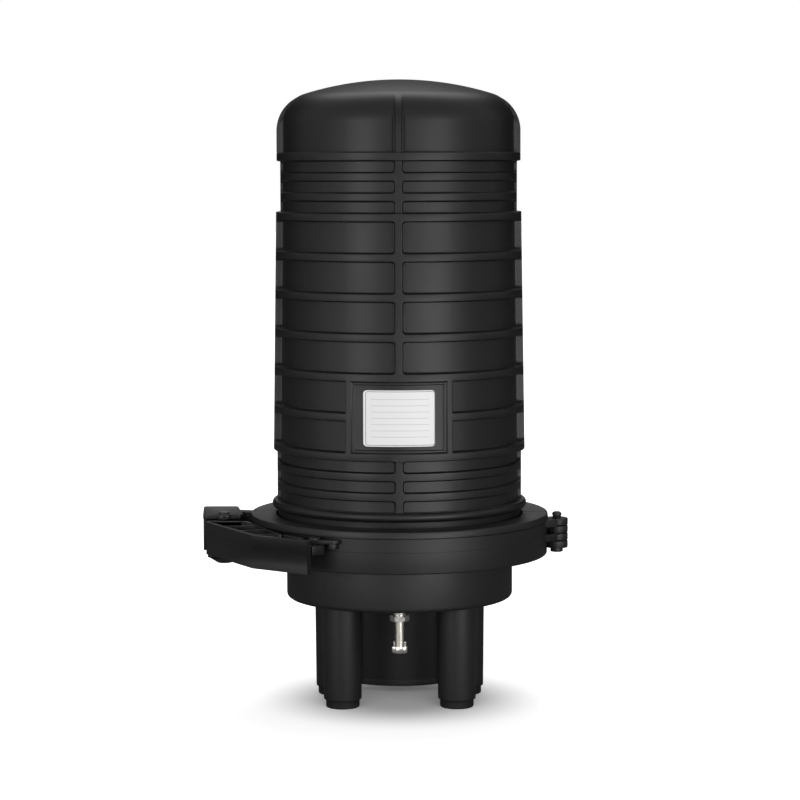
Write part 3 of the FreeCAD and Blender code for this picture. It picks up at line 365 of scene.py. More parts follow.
def moulded(name, dark, light, roughness, grain_scale, grain_strength):
    """Moulded plastic: satin, finely grained, with slow changes of gloss."""
    material, tree, shader = new_material(name)
    give(tree, shader, {
        "Specular IOR Level": 0.32,
        "Base Color": tinted(tree, dark, light, 9.0),
        "Roughness": drifting(tree, roughness, 22.0, 0.1),
        "Normal": grained(tree, grain_scale, grain_strength, 0.0002),
    })
    return material


def metal(name, colour, roughness, scratch_scale):
    """Turned or plated metal with fine marks from tool and handling."""
    material, tree, shader = new_material(name)
    lighter = tuple(min(1.0, c * 1.12) for c in colour)
    give(tree, shader, {
        "Metallic": 1.0,
        "Base Color": tinted(tree, colour, lighter, 160.0),
        "Roughness": drifting(tree, roughness, 420.0, 0.16),
        "Normal": grained(tree, scratch_scale, 0.08, 0.0001),
    })
    return material


def clear_sheet():
    """Clear sheet plastic."""
    material, tree, shader = new_material("clear_sheet")
    give(tree, shader, {
        "Base Color": (0.9, 0.92, 0.92, 1),
        "Transmission Weight": 1.0,
        "IOR": 1.49,
        "Roughness": drifting(tree, 0.08, 40.0, 0.04),
    })
    return material


finishes = {
    "dome": moulded("dome_plastic", (0.0055, 0.0055, 0.006), (0.0075, 0.0075, 0.008),
                    0.44, 2400, 0.08),
    "clamp": moulded("clamp_plastic", (0.006, 0.006, 0.0065), (0.008, 0.008, 0.0085),
                     0.45, 2600, 0.10),
    "base": moulded("base_plastic", (0.007, 0.007, 0.0075), (0.01, 0.01, 0.0105),
                    0.50, 1500, 0.30),
    "pins": moulded("black_steel", (0.014, 0.014, 0.015), (0.02, 0.02, 0.021), 0.36, 4000, 0.05),
    "tray": moulded("tray_plastic", (0.60, 0.61, 0.60), (0.66, 0.67, 0.66), 0.42, 2400, 0.05),
    "strap": moulded("strap_cloth", (0.02, 0.02, 0.022), (0.035, 0.035, 0.038), 0.8, 1100, 0.8),
    "seal": moulded("seal_rubber", (0.012, 0.012, 0.012), (0.018, 0.018, 0.018), 0.62, 1800, 0.2),
    "bright_metal": metal("plated_brass", (0.78, 0.76, 0.72), 0.24, 5200),
    "brass": metal("bare_brass", (0.70, 0.53, 0.26), 0.3, 5200),
    "steel": metal("bare_steel", (0.56, 0.57, 0.58), 0.34, 3000),
    "clear": clear_sheet(),
}

# %% [markdown]
# ## The dome
# The dome is one deep moulding. Ring ribs and four upright ribs stiffen it, and
# between them the skin is sunk, so that each field looks like a shallow tray with
# rounded corners. One upright row of points is spun round the axis, with points and
# steps crowded where an edge will be. Then every point is pulled out to the rib or
# in to the skin, by how deep inside a field it lies. Each point of the row holds both
# radii, and spinning copies them.

# %% Sizes of the dome
dome_low, dome_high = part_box("dome_cover")
seal_z = dome_low.z / MM
apex_z = dome_high.z / MM
clamp_low, clamp_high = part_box("clamp_half_front")
clamp_z = clamp_low.z / MM
clamp_top = clamp_high.z / MM
neck_height = 4.3
small_pitch = 13.13
big_pitch = 26.0
rib_height = 5.5
cap_height = 54.7
collar_z = clamp_top + neck_height
big_z = collar_z + 3 * small_pitch
upper_z = big_z + 6 * big_pitch
lip_z = apex_z - cap_height
lip_top = lip_z + rib_height
levels = [collar_z + i * small_pitch for i in range(3)]
levels += [big_z + i * big_pitch for i in range(6)]
levels += [upper_z + i * small_pitch for i in range(4)]

collar_r = 86.7
lower_rib_r = 83.3
big_rib_low_r = 85.7
big_rib_top_r = 83.1
upper_rib_r = 80.1
cap_r = 82.5
skin_low_r = 81.0
skin_top_r = 78.0
neck_r = 83.0
flange_r = dome_high.x / MM
flange_edge = 6.0
flange_slope = 0.25
wall = 3.2
rib_half = 2.6
corner_r = 1.9
ease = 1.15                 # width over which a rib's flank rises

window_low = big_z + rib_height
window_high = big_z + 2 * big_pitch
window_half = 30.25
window_frame = 4.1
window_r = 83.0
window_step = 1.8
window_step_depth = 0.9
crown_r = 216.0             # the crown's wide sphere, and its shoulders on skin and ribs
skin_shoulder_r = 20.5
cap_shoulder_r = 25.3
crown_steps = 22
rib_view_r = 80.0           # radii at which widths across the front are measured
window_view_r = 82.0


def clamped(share):
    return min(1.0, max(0.0, share))


def step(value, width):
    """0 below zero and 1 above it, eased over a width."""
    share = clamped(value / width + 0.5)
    return share * share * (3 - 2 * share)


def skin_r(z):
    """Radius of the sunk skin, which narrows upwards so that the moulding comes off."""
    share = clamped((z - collar_z) / (lip_z - collar_z))
    return skin_low_r + (skin_top_r - skin_low_r) * share


def rib_r(z):
    """Radius of the ribs' faces."""
    slope = (z - big_z) / (upper_z + rib_height - big_z)
    big = big_rib_low_r + (big_rib_top_r - big_rib_low_r) * slope
    width = 0.5
    radius = lower_rib_r
    radius += (big - lower_rib_r) * step(z - big_z, width)
    radius += (upper_rib_r - big) * step(z - upper_z - rib_height, width)
    radius += (cap_r - upper_rib_r) * step(z - lip_z, width)
    return radius


# %% The upright row of points
flank = (-0.8, -0.5, -0.25, 0.0, 0.25, 0.5, 0.8, 1.1, 1.5, 2.1)


def field_rows():
    """Heights of the points between collar and cap, crowded at the ribs' edges."""
    rows = set()
    for low, high in zip(levels, levels[1:]):
        foot = low + rib_height
        rows.update(foot + d for d in flank)
        rows.update(high - d for d in flank)
        rows.add((foot + high) / 2)
    for z in (window_low + window_step, window_high - window_step):
        rows.update(z + d for d in (-0.6, -0.3, 0.0, 0.3, 0.6))
    rows.update(lip_top + d for d in (-1.0, -0.5))
    return sorted(z for z in rows if z > collar_z + rib_height + 0.05)


def crown_arc(wall_r, shoulder_r, sphere_r, top, steps):
    """Points of a crown from the wall up to the axis: a shoulder arc, then a wide sphere."""
    across = wall_r - shoulder_r
    centre_z = top - sphere_r
    shoulder_z = centre_z + math.sqrt((sphere_r - shoulder_r) ** 2 - across ** 2)
    lean = math.asin(across / (sphere_r - shoulder_r))
    points = []
    for k in range(steps + 1):
        a = math.pi / 2 - (math.pi / 2 - lean) * k / steps
        points.append((across + shoulder_r * math.sin(a), shoulder_z + shoulder_r * math.cos(a)))
    for k in range(1, steps):
        a = lean * (1 - k / (steps - 1))
        points.append((sphere_r * math.sin(a), centre_z + sphere_r * math.cos(a)))
    return points


def dome_rows():
    """Skin point and rib point of every row, from the cavity's top round to the crown."""
    still = crown_arc(skin_top_r - wall, skin_shoulder_r - wall, crown_r - wall,
                      apex_z - wall, 9)[::-1]
    mouth = skin_low_r - wall + 0.8
    still += [(skin_top_r - wall, lip_z), (skin_low_r - wall, seal_z + 10.4),
              (mouth, seal_z + 8.4)]
    flange_top = seal_z + flange_edge + flange_slope * (flange_r - neck_r)
    collar_top = collar_z + rib_height
    still += [tuple(p) for p in rounded([
        (mouth, seal_z + 2.0), (mouth, seal_z, 0.3),
        (flange_r, seal_z, 0.4), (flange_r, seal_z + flange_edge, 0.4),
        (neck_r, flange_top, 0.8), (neck_r, collar_z, 0.9),
        (collar_r, collar_z, 2.3), (collar_r, collar_top, 2.3),
        (lower_rib_r, collar_top, 0.5), (lower_rib_r, collar_top + 0.05),
    ], 5, closed=False)]
    rows = [(p, p) for p in still]
    rows += [((skin_r(z), z), (rib_r(z), z)) for z in field_rows()]
    edge = [(cap_r, lip_top - 0.4), (cap_r - 0.12, lip_top - 0.12), (cap_r - 0.4, lip_top)]
    rows += [(p, p) for p in edge]
    rows += [((skin_top_r + d, lip_top), (cap_r - 0.4 + d / 20, lip_top)) for d in (0.9, 0.3)]
    rows += [((skin_top_r, lip_top + d), (cap_r, lip_top + d)) for d in (0.3, 0.8)]
    skin = crown_arc(skin_top_r, skin_shoulder_r, crown_r, apex_z, crown_steps)
    rib = crown_arc(cap_r, cap_shoulder_r, crown_r, apex_z - 0.4, crown_steps)
    return rows + list(zip(skin, rib))


# %% Angles of the columns
rib_offsets = (0.0, 0.9, 1.5, 1.8, 2.1, 2.35, 2.6, 2.85, 3.1, 3.4, 3.75, 4.1, 4.6, 5.4)
window_offsets = (27.4, 27.9, 28.25, 28.5, 28.8, 29.4, 29.8, 30.1, 30.4, 30.7, 31.2, 33.0,
                  33.6, 33.9, 34.2, 34.5, 34.8, 35.2, 36.0)
even_turn = 3.0             # degrees between columns where nothing crowds them


def both_sides(offsets, radius, middle=0):
    """Angles of the points at these distances to either side of a middle."""
    return {round(middle + side * math.degrees(math.asin(x / radius)), 4) % 360
            for x in offsets for side in (-1, 1)}


def column_angles():
    """Angles round the dome from the front, crowded at the upright ribs and the window."""
    crowded = both_sides(window_offsets, window_view_r)
    for quarter in range(4):
        crowded |= both_sides(rib_offsets, rib_view_r, 90 * quarter)
    even = [even_turn * k for k in range(int(360 / even_turn))]
    free = [a for a in even
            if min(abs((a - t + 180) % 360 - 180) for t in crowded) > even_turn / 2]
    return sorted(crowded.union(free))


# %% Pull the points out to the ribs and in to the skin
STILL, FIELD, CAP = 0, 1, 2
QUARTER = radians(90)


def rib_share(x, depth):
    """1 on a rib and 0 on the skin, x from the upright rib and this deep in the field."""
    beside = abs(x) - rib_half
    if beside < corner_r and depth < corner_r:
        inside = corner_r - math.hypot(corner_r - beside, corner_r - depth)
    else:
        inside = min(beside, depth)
    return 1 - step(inside, ease)


def field_depth(z):
    """How far a height lies inside its field, negative on a ring rib."""
    for low, high in zip(levels, levels[1:]):
        if z < high + rib_height / 2:
            return min(z - low - rib_height, high - z)
    return -rib_height


def window_face(x, z, radius):
    """The window's stepped floor, inside its raised frame."""
    inside = min(window_half - abs(x), z - window_low, window_high - z)
    floor = radius + (window_r + window_step_depth - radius) * step(inside, 0.9)
    return floor - window_step_depth * step(inside - window_step, 0.7)


def cap_share(x, z, r):
    """The cap's upright ribs: a narrow crest on a broader foot, fading into the crown."""
    flank_width, crest_half, foot_half = 0.6, 2.15, 3.7
    foot_top, inner_r = apex_z - 25.0, 66.0
    crest = step(crest_half - abs(x), flank_width)
    foot = 0.5 * step(foot_half - abs(x), flank_width) * step(foot_top - z, 2)
    return max(crest, foot) * step(r - inner_r, 4)


def shape_dome(bm, layers):
    """Moves every spun point to its place on rib, skin, window or cap."""
    skin, skin_up, rib, rib_up, zone = layers
    for v in bm.verts:
        if v[zone] == STILL:
            continue
        angle = math.atan2(v.co.x, -v.co.y)
        beside = math.sin(angle - QUARTER * round(angle / QUARTER))
        z = v[skin_up]
        in_window = False
        if v[zone] == CAP:
            share = cap_share(v[skin] * beside, z, v[skin])
        else:
            share = rib_share(rib_view_r * beside, field_depth(z))
            across = window_view_r * math.sin(angle)
            beyond = window_half + window_frame - abs(across)
            in_window = (math.cos(angle) > 0 and beyond > -1
                         and window_low - 1 < z < window_high + 1)
        if in_window:
            share = 1 if abs(across) < window_half else max(share, step(beyond, ease))
        radius = v[skin] + (v[rib] - v[skin]) * share
        if in_window:
            radius = window_face(across, z, radius)
        z += (v[rib_up] - z) * share
        v.co = (radius * math.sin(angle), -radius * math.cos(angle), z)


def dome_shell():
    """The dome as one closed moulding."""
    bm = bmesh.new()
    names = ("skin", "skin_up", "rib", "rib_up", "zone")
    layers = [bm.verts.layers.float.new(name) for name in names]
    verts = []
    for skin, rib in dome_rows():
        zone = FIELD if skin[1] < lip_top - 0.2 else CAP
        if skin == rib:
            zone = STILL
        v = bm.verts.new((0, -skin[0], skin[1]))
        for layer, value in zip(layers, (*skin, *rib, zone)):
            v[layer] = value
        verts.append(v)
    geometry = verts + [bm.edges.new(pair) for pair in zip(verts, verts[1:])]
    angles = column_angles()
    for here, there in zip(angles, angles[1:] + [360.0]):
        geometry = spin(bm, geometry, there - here, 1)["geom_last"]
    merge(bm, 0.002)
    shape_dome(bm, layers)
    merge(bm, 0.002)
    return bm


piece("dome_moulding", dome_shell(), "closure", "dome", "dome_cover", sharp=radians(50))

# %% [markdown]
# ## The label
# A plate of white film sits in the window: a blank record label with a thin outline
# and ruled lines to write on. Print has no thickness worth modelling, so the material
# draws it, from the distance to a rounded rectangle.

# %% Label material
label_low, label_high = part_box("label")
label_centre = (label_low + label_high) / 2
label_half = (label_high - label_low) / 2
label_corner = 2.4
label_thick = 0.25


def label_film():
    """White film with a thin outline and ruled lines."""
    material, tree, shader = new_material("label_film")
    calc = partial(math_node, tree)
    split = add(tree, "ShaderNodeSeparateXYZ", {"Vector": own_place(tree)})
    x = calc("SUBTRACT", split.outputs["X"], label_centre.x)
    z = calc("SUBTRACT", split.outputs["Z"], label_centre.z)
    out_x, out_z = calc("ABSOLUTE", x), calc("ABSOLUTE", z)
    radius = label_corner * MM
    across = calc("MAXIMUM", calc("SUBTRACT", out_x, label_half.x - radius), 0.0)
    upward = calc("MAXIMUM", calc("SUBTRACT", out_z, label_half.z - radius), 0.0)
    squares = calc("ADD", calc("MULTIPLY", across, across), calc("MULTIPLY", upward, upward))
    line_r, line_half = radius - 0.9 * MM, 0.16 * MM
    from_line = calc("ABSOLUTE", calc("SUBTRACT", calc("SQRT", squares), line_r))
    outline = calc("LESS_THAN", from_line, line_half)
    pitch, line_share, line_ink = 4.1 * MM, 0.07, 0.45
    phase = calc("FRACT", calc("DIVIDE", calc("ADD", z, 50 * pitch), pitch))
    within = calc("MULTIPLY", calc("LESS_THAN", out_x, label_half.x - 4.5 * MM),
                  calc("LESS_THAN", out_z, label_half.z - 3.5 * MM))
    ruled = calc("MULTIPLY", calc("LESS_THAN", phase, line_share), within)
    ink = calc("MAXIMUM", outline, calc("MULTIPLY", ruled, line_ink))
    give(tree, shader, {
        "Base Color": colour_mix(tree, ink, (0.60, 0.60, 0.60), (0.05, 0.05, 0.055)),
        "Roughness": drifting(tree, 0.46, 60.0, 0.08),
        "Normal": grained(tree, 1800.0, 0.04, 0.0001),
    })
    return material


finishes["label"] = label_film()


# %% Label plate
def label_plate(strips=24):
    """A rounded rectangle of film, bent round the dome."""
    half_x, half_z, mid_z = label_half.x / MM, label_half.z / MM, label_centre.z / MM
    corners = [(x, mid_z + z, label_corner) for x, z in (
        (-half_x, -half_z), (half_x, -half_z), (half_x, half_z), (-half_x, half_z))]
    bm = bmesh.new()
    bm.faces.new([bm.verts.new((x, 0, z)) for x, z in rounded(corners, 6)])
    for k in range(1, strips):
        split_at(bm, (-half_x + 2 * half_x * k / strips, 0, 0), (1, 0, 0))
    made = bmesh.ops.extrude_face_region(bm, geom=bm.faces[:])
    move(bm, only(bmesh.types.BMVert, made["geom"]), y=-label_thick)
    for v in bm.verts:
        v.co.y -= math.sqrt(window_r ** 2 - v.co.x ** 2)
    return bm


piece("label_plate", label_plate(), "closure", "label", "label")

# %% [markdown]
# ## The clamp
# Each half ring is one section swept round half a turn. Hinge knuckles, the lug's
# ear and the clevis are closed shapes of their own that reach into the ring, so only
# the notches and pin holes have to be cut.

# %% Cutting one shape with others
def cut(bm, *tools, operation="DIFFERENCE"):
    """A shape less the room of the tools, or with INTERSECT what lies inside them."""
    things = []
    for shape in (bm, *tools):
        bmesh.ops.recalc_face_normals(shape, faces=shape.faces)
        things.append(placed("shape", mesh_of(shape)))
    for tool in things[1:]:
        modifier = things[0].modifiers.new("cut", "BOOLEAN")
        modifier.operation = operation
        modifier.solver = "MANIFOLD"
        modifier.object = tool
    made = bmesh.new()
    made.from_object(things[0], bpy.context.evaluated_depsgraph_get())
    for thing in things:
        bpy.data.meshes.remove(thing.data)
    return made


def hole(x, y, radius, low=0, high=200):
    """A cylinder to cut with."""
    return disc(x, y, low, high, radius, edge=0)


def polar(angle, radius):
    a = radians(angle)
    return Vector((radius * math.cos(a), radius * math.sin(a)))


def bar(start, end, thick, low, high, edge=0.3):
    """An upright plate from start to end, to the side of the thick vector."""
    return slab([start, end, end + thick, start + thick], low, high, edge)


# %% Half rings
jaw_gap = 0.3
wall_r = flange_r + jaw_gap + 4.8
rim_r = wall_r + 0.8
drum_r = 77.3
bore_gap = 1.2              # between the ring's mouths and what they go round
seam_turn = -3.0            # degrees from the right-hand side to the seam
seam_half = 0.17            # degrees between the seam's middle and a half's end
lever_top = clamp_top - 4.1
lever_low = clamp_z + 1.8
link_low = lever_low + 10.9
link_top = link_low + 6.4


def ring_section():
    """The clamp's section: a channel with a rim band and fine lines from the mould."""
    root, upper_mouth, lower_mouth = flange_r + jaw_gap, neck_r + bore_gap, drum_r + bore_gap
    upper_root = seal_z + flange_edge + jaw_gap
    lower_root = seal_z - flange_edge - jaw_gap
    rim_z = clamp_top - 4.2
    part_z = clamp_z + 14.1
    return rounded([
        (lower_mouth, clamp_z, 0.5),
        (wall_r, clamp_z, 0.8),
        (wall_r, part_z - 0.18), (wall_r + 0.13, part_z - 0.06),
        (wall_r + 0.13, part_z + 0.06), (wall_r, part_z + 0.18),
        (wall_r, rim_z - 0.75), (wall_r - 0.45, rim_z - 0.45), (wall_r - 0.45, rim_z),
        (rim_r, rim_z, 0.2),
        (rim_r - 0.45, clamp_top, 0.8),
        (upper_mouth, clamp_top, 0.7),
        (upper_mouth, upper_root + flange_slope * (root - upper_mouth)),
        (root, upper_root),
        (root, lower_root),
        (lower_mouth, lower_root - flange_slope * (root - lower_mouth)),
    ], 4)


def half_ring(first):
    """Half a turn of the section, with broken edges at its two ends."""
    bm = spun(ring_section(), steps=90, start=first + seam_half, sweep=180 - 2 * seam_half)
    ends = [face for face in bm.faces if len(face.verts) > 4]
    rims = {edge for face in ends for edge in face.edges}
    break_edges(bm, list(rims), 0.3, clamp=False)
    return bm


def seam_notch():
    """A wedge that opens the seam's upper side towards the rim."""
    spread = 2.1
    corners = [polar(seam_turn, wall_r - 3.4), polar(seam_turn - spread, wall_r + 3),
               polar(seam_turn + spread, wall_r + 3)]
    return slab(corners, clamp_top - 2.6, clamp_top + 1, 0)


# %% Hinge
hinge = Vector((wall_r + 6.5, -5.0))
barrel_r = 7.6
pin_bore = 2.76
knuckle_gap = 0.3
knuckles = []               # lower and upper end of each, from the top down
high = clamp_top - 3.9
for length in (4.8, 4.9, 4.8, 5.0):
    knuckles.append((high - length, high))
    high -= length + knuckle_gap


def knuckle(side, low, high):
    """A tube round the pin and the block that ties it to its own half."""
    tube = rounded([(pin_bore, low, 0.25), (barrel_r, low, 0.55), (barrel_r, high, 0.55),
                    (pin_bore, high, 0.25)], 3)
    inner, edge, near = flange_r + 2, hinge.y + side * barrel_r, hinge.y + side * 3.0
    block = slab([(inner, edge), (hinge.x, edge), (hinge.x, near), (inner, near)],
                 low, high, 0.35)
    return [spun(tube, hinge, 56), block]


def web(side, low, high, window_low, window_high):
    """The slanting web from ring to barrel, with a window at the other half's knuckle."""
    tip = hinge + Vector((0, side * barrel_r))
    foot = polar(math.degrees(math.atan2(hinge.y, hinge.x)) + side * 10.0, wall_r - 2)
    plate = bar(foot, tip, Vector((0, -side * 3.0)), low, high, 0.3)
    start, end = foot.lerp(tip, 0.25), foot.lerp(tip, 0.8)
    front, back = foot.y - 30, foot.y + 30
    window = slab([(start.x, front), (end.x, front), (end.x, back), (start.x, back)],
                  window_low, window_high, 0)
    return cut(plate, window)


def room_for(spans):
    """Cylinders that leave play round knuckles."""
    return [hole(*hinge, barrel_r + 0.5, low - knuckle_gap, high + knuckle_gap)
            for low, high in spans]


def with_hinge(half, side):
    """The half ring notched for the other half's knuckles, and its own two."""
    own, others, between = knuckles[0::2], knuckles[1::2], knuckles[1]
    if side > 0:
        own, others, between = others, own, knuckles[2]
    parts = [cut(half, *room_for(others), seam_notch())]
    for low, high in own:
        parts += knuckle(side, low, high)
    parts.append(cut(web(side, own[-1][0], own[0][1], *between), *room_for(others)))
    return parts


# %% Front half with the lug's ear
lug_turn, tab_turn = 238.89, 244.9
lug = polar(lug_turn, wall_r + 6.12)
tab = polar(tab_turn, wall_r + 1.6)


def ear():
    """A plate with the pin's hole, its root in the ring and a foot under the tab."""
    low, high = link_top + 0.4, link_top + 3.1
    plate = cut(hull([(*lug, 4.6), (*tab, 5.4)], low, high, 0.5), hole(*lug, pin_bore))
    root = slab([lug * 0.985, tab, polar(tab_turn, wall_r - 2), polar(lug_turn, wall_r - 2)],
                low, high, 0.3)
    foot = disc(*tab, low - 3.6, low + 0.5, 3.6, 0.5)
    return [plate, root, foot]


front = together(*with_hinge(half_ring(180 + seam_turn), -1), *ear())
piece("clamp_front", front, "front_half", "clamp", "clamp_half_front")

# %% Rear half with the clevis
pivot = Vector((-wall_r - 18.2, -10.0))
plate_front, plate_back = -4.5, 38.4    # of the clevis, in Y from the pivot
stub_bore = 3.26


def clevis_side(back):
    """X of the clevis's left side, which leans out to the back."""
    return pivot.x - 14.3 - 2.7 * (back - plate_front) / (plate_back - plate_front)


def clevis_plate(inset, low, high, edge):
    """A plate of four rounded corners with the pivot's bore."""
    front, back = pivot.y + plate_front, pivot.y + plate_back
    outline = [(clevis_side(plate_front) + inset, front, 3.0), (pivot.x + 13.1, front, 3.0),
               (pivot.x + 7.2, back, 3.0), (clevis_side(plate_back) + inset, back, 3.0)]
    return cut(slab(rounded(outline, 5), low, high, edge), hole(*pivot, stub_bore))


def clevis():
    """Two plates with a hub and a boss, a cheek, a back wall and a root on the ring."""
    upper_low, upper_high = lever_top + 0.7, lever_top + 4.1
    lower_low, lower_high = lever_low - 3.9, lever_low - 0.7
    upper = clevis_plate(0, upper_low, upper_high, 0.6)
    hub = cut(disc(*pivot, upper_low, upper_high, 6.6, 0.5), hole(*pivot, stub_bore))
    lower = clevis_plate(3.0, lower_low, lower_high, 0.5)
    boss = rounded([(stub_bore, lower_low - 3.6), (4.8, lower_low - 3.6, 0.6),
                    (11.0, lower_low + 0.3), (stub_bore, lower_low + 0.3)], 3)
    low, high = lower_high - 0.5, upper_low + 0.5
    near = Vector((clevis_side(12.8), pivot.y + 12.8))
    back = Vector((clevis_side(35.4), pivot.y + 35.4))
    cheek = bar(near, back, Vector((2.3, 0)), low, high, 0.3)
    right = pivot.x + 6.3
    behind = slab([(back.x, back.y - 2.3), (right, back.y - 2.3), (right, back.y), back],
                  low, high, 0.3)
    root = slab([(right, pivot.y + 22.4), polar(174.8, wall_r - 2), polar(168.4, wall_r - 2),
                 (right, back.y)], lower_low, clamp_top - 1.9, 0.5)
    return [upper, hub, lower, spun(boss, pivot, 56), cheek, behind, root]


rear = together(*with_hinge(half_ring(seam_turn), 1), *clevis())
piece("clamp_rear", rear, "closure", "clamp", "clamp_half_rear")

# %% Pins of hinge and latch
def hinge_pin(radius=2.7):
    """A shank with a mushroom top and a head below the knuckles."""
    low, high = knuckles[-1][0], knuckles[0][1]
    return turned([
        (0, low - 3.0), (4.3, low - 3.0, 0.7), (4.3, low - 0.05, 0.4), (radius, low - 0.05),
        (radius, high + 0.3), (2.9, high + 0.6), (2.9, high + 1.5), (3.35, high + 2.2, 0.3),
        (3.2, high + 3.2, 0.4), (2.0, high + 4.2, 0.5), (0, high + 4.2),
    ], centre=hinge)


def headed_pin(place, low, high, radius, head_r=3.8):
    """A pin with a rounded head above the plate that it stands in."""
    return turned([(0, low), (radius, low, 0.4), (radius, high), (head_r, high, 0.15),
                   (head_r, high + 1.2, 0.8), (0, high + 1.2)], 4, place)


stub_r = 3.2
pivots = together(headed_pin(pivot, link_top + 0.8, lever_top + 4.1, stub_r),
                  disc(*pivot, lever_low - 7.5, link_low - 0.8, stub_r, 0.4))
lug_pin = headed_pin(lug, link_low - 0.4, link_top + 3.1, 2.7)
piece("hinge_shank", hinge_pin(), "closure", "pins", "hinge_pin")
piece("pivot_stubs", pivots, "closure", "pins", "lever_pivot_pins")
piece("lug_post", lug_pin, "front_half", "pins", "lug_pin")

# %% [markdown]
# ## Lever and link
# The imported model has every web, rib and rail of these two. A copy of each is merged,
# its flat faces are joined, and its edges are rounded.

# %% Copies with rounded edges
def softened(node, edge=0.35):
    """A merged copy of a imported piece, in millimetres, with rounded edges."""
    bm = bmesh.new()
    bm.from_mesh(frame["nodes"][node].data)
    bmesh.ops.scale(bm, vec=(1 / MM, 1 / MM, 1 / MM), verts=bm.verts)
    merge(bm, 0.002)
    bmesh.ops.dissolve_limit(bm, angle_limit=radians(0.4), verts=bm.verts, edges=bm.edges)
    sharp = [e for e in bm.edges if e.is_manifold and e.calc_face_angle(0) > SHARP]
    break_edges(bm, sharp, edge)
    return bm


def ledge(bm, level, outward, height=0.25):
    """Above a level, the outward faces stand a little proud, as at a mould's parting."""
    for z in (level, level + height):
        split_at(bm, (0, 0, z), (0, 0, 1))
    bm.normal_update()
    for normal in outward:
        raised = {v for face in bm.faces if face.normal.dot(normal) > 0.999
                  for v in face.verts if v.co.z > level + height / 2}
        for v in raised:
            v.co += normal * height
    return bm


lever_side = pivot + Vector((-11.6, -12.7))
elbow = lug + Vector((-40.7, 7.5))
lever_end = lug + Vector((-3.8, -19.0))
runs = [(end - start).normalized()
        for start, end in ((lever_side, elbow), (elbow, lever_end))]
lever_faces = [Vector((along.y, -along.x, 0)) for along in runs]
lever_bm = ledge(softened("latch_lever"), clamp_z + 16.3, lever_faces)
piece("lever_moulding", lever_bm, "lever", "clamp", "latch_lever")
piece("link_hook", softened("draw_link"), "link", "clamp", "draw_link")

# %% [markdown]
# ## The base
# Drum and ports are turned shapes too. The oval port is a round one drawn in across.

# %% Drum
drum_z = 71.9
floor_z = drum_z + 4.5
drum_wall = 3.5
valve_y = -62.0


def drum():
    """Drum, sloped sealing flange, the seal's groove and the spigot inside the dome."""
    inner = drum_r - drum_wall
    under = seal_z - flange_edge
    step_r, step_z = drum_r - 0.6, clamp_z - 0.7
    spigot_r = skin_low_r - wall + 0.4
    groove = spigot_r + 8.8
    return turned([
        (0, drum_z), (drum_r, drum_z, 3.0), (drum_r, step_z, 0.3), (step_r, step_z),
        (step_r, under - flange_slope * (flange_r - step_r)),
        (flange_r, under, 0.4), (flange_r, seal_z, 0.4),
        (groove + 4.6, seal_z, 0.3), (groove + 4.6, seal_z - 3.6, 0.3),
        (groove, seal_z - 3.6, 0.3), (groove, seal_z, 0.3),
        (spigot_r, seal_z), (spigot_r, seal_z + 8.0, 0.8),
        (spigot_r - 3.2, seal_z + 8.0, 0.4), (spigot_r - 3.2, seal_z),
        (inner, seal_z - 8.0), (inner, floor_z, 1.5), (0, floor_z),
    ], 4, steps=180)


# %% Ports
PORTS = [polar(angle, drum_r - 29.1) for angle in (-36.56, 216.56, 20.28, 159.72)]
PORT_BORE = 11.1
TIP = 5.4                   # height of the ports' stepped tips
OVAL_OUT = (37.4, 23.8)     # half length and half width, outside and inside
OVAL_IN = (34.6, 21.0)
OVAL_Y = 35.4


def round_port(x, y):
    """A closed port: a tapered tube on a stepped tip that is sawn off to let a cable in."""
    top = drum_z + 1
    return turned([
        (0, 0), (11.4, 0, 1.2), (11.4, TIP - 0.2), (11.5, TIP, 0.1), (12.8, TIP, 1.1),
        (13.5, top), (PORT_BORE, top), (10.4, TIP), (9.0, TIP, 0.3), (9.0, 2.4, 0.8), (0, 2.4),
    ], 4, (x, y), 72)


def drawn_in(bm, half_long, half_wide):
    """A round shape about the origin, squeezed to an oval and moved to the back."""
    bmesh.ops.scale(bm, vec=(1, half_wide / half_long, 1), verts=bm.verts)
    move(bm, bm.verts, y=OVAL_Y)
    return bm


def oval_port():
    """The oval port, with the groove that guides the saw."""
    outside, inside = OVAL_OUT[0], OVAL_IN[0]
    groove, bottom, top = TIP + 4.0, TIP + 2.8, drum_z + 1
    bm = turned([
        (0, TIP), (outside, TIP, 1.0), (outside, groove, 0.1), (outside - 0.5, groove),
        (outside - 0.5, groove + 0.5), (outside, groove + 0.5, 0.1), (outside, top),
        (inside, top), (inside, bottom, 0.8), (0, bottom),
    ], 4, steps=160)
    return drawn_in(bm, *OVAL_OUT)


def bench_boss(side):
    """A boss inside the drum with a blind hole for the cross plate's screw."""
    place = (side * 62.0, -6.0)
    return cut(disc(*place, floor_z - 0.5, floor_z + 14, 4.6, 0.4),
               hole(*place, 2.05, floor_z + 5, floor_z + 15))


floor_span = (drum_z - 1, floor_z + 1)
openings = [hole(x, y, PORT_BORE, *floor_span) for x, y in PORTS]
openings.append(drawn_in(hole(0, 0, OVAL_IN[0], *floor_span), *OVAL_IN))
openings.append(hole(0, valve_y, 3.6, *floor_span))
base = together(cut(drum(), *openings), *[round_port(x, y) for x, y in PORTS], oval_port(),
                *[bench_boss(side) for side in (-1, 1)])
piece("base_moulding", base, "closure", "base", "base")

# %% [markdown]
# ## The air valve
# The stem's thread is a real helix. A short outline as high as the pitch is spun and
# raised at once, so that each turn ends where the next one starts.

# %% Stem
stem_end = drum_z - 27.2
stem_r = 3.45
stem_bore = 1.9
thread_depth = 0.3
thread_pitch = 0.8
thread_turns = 31


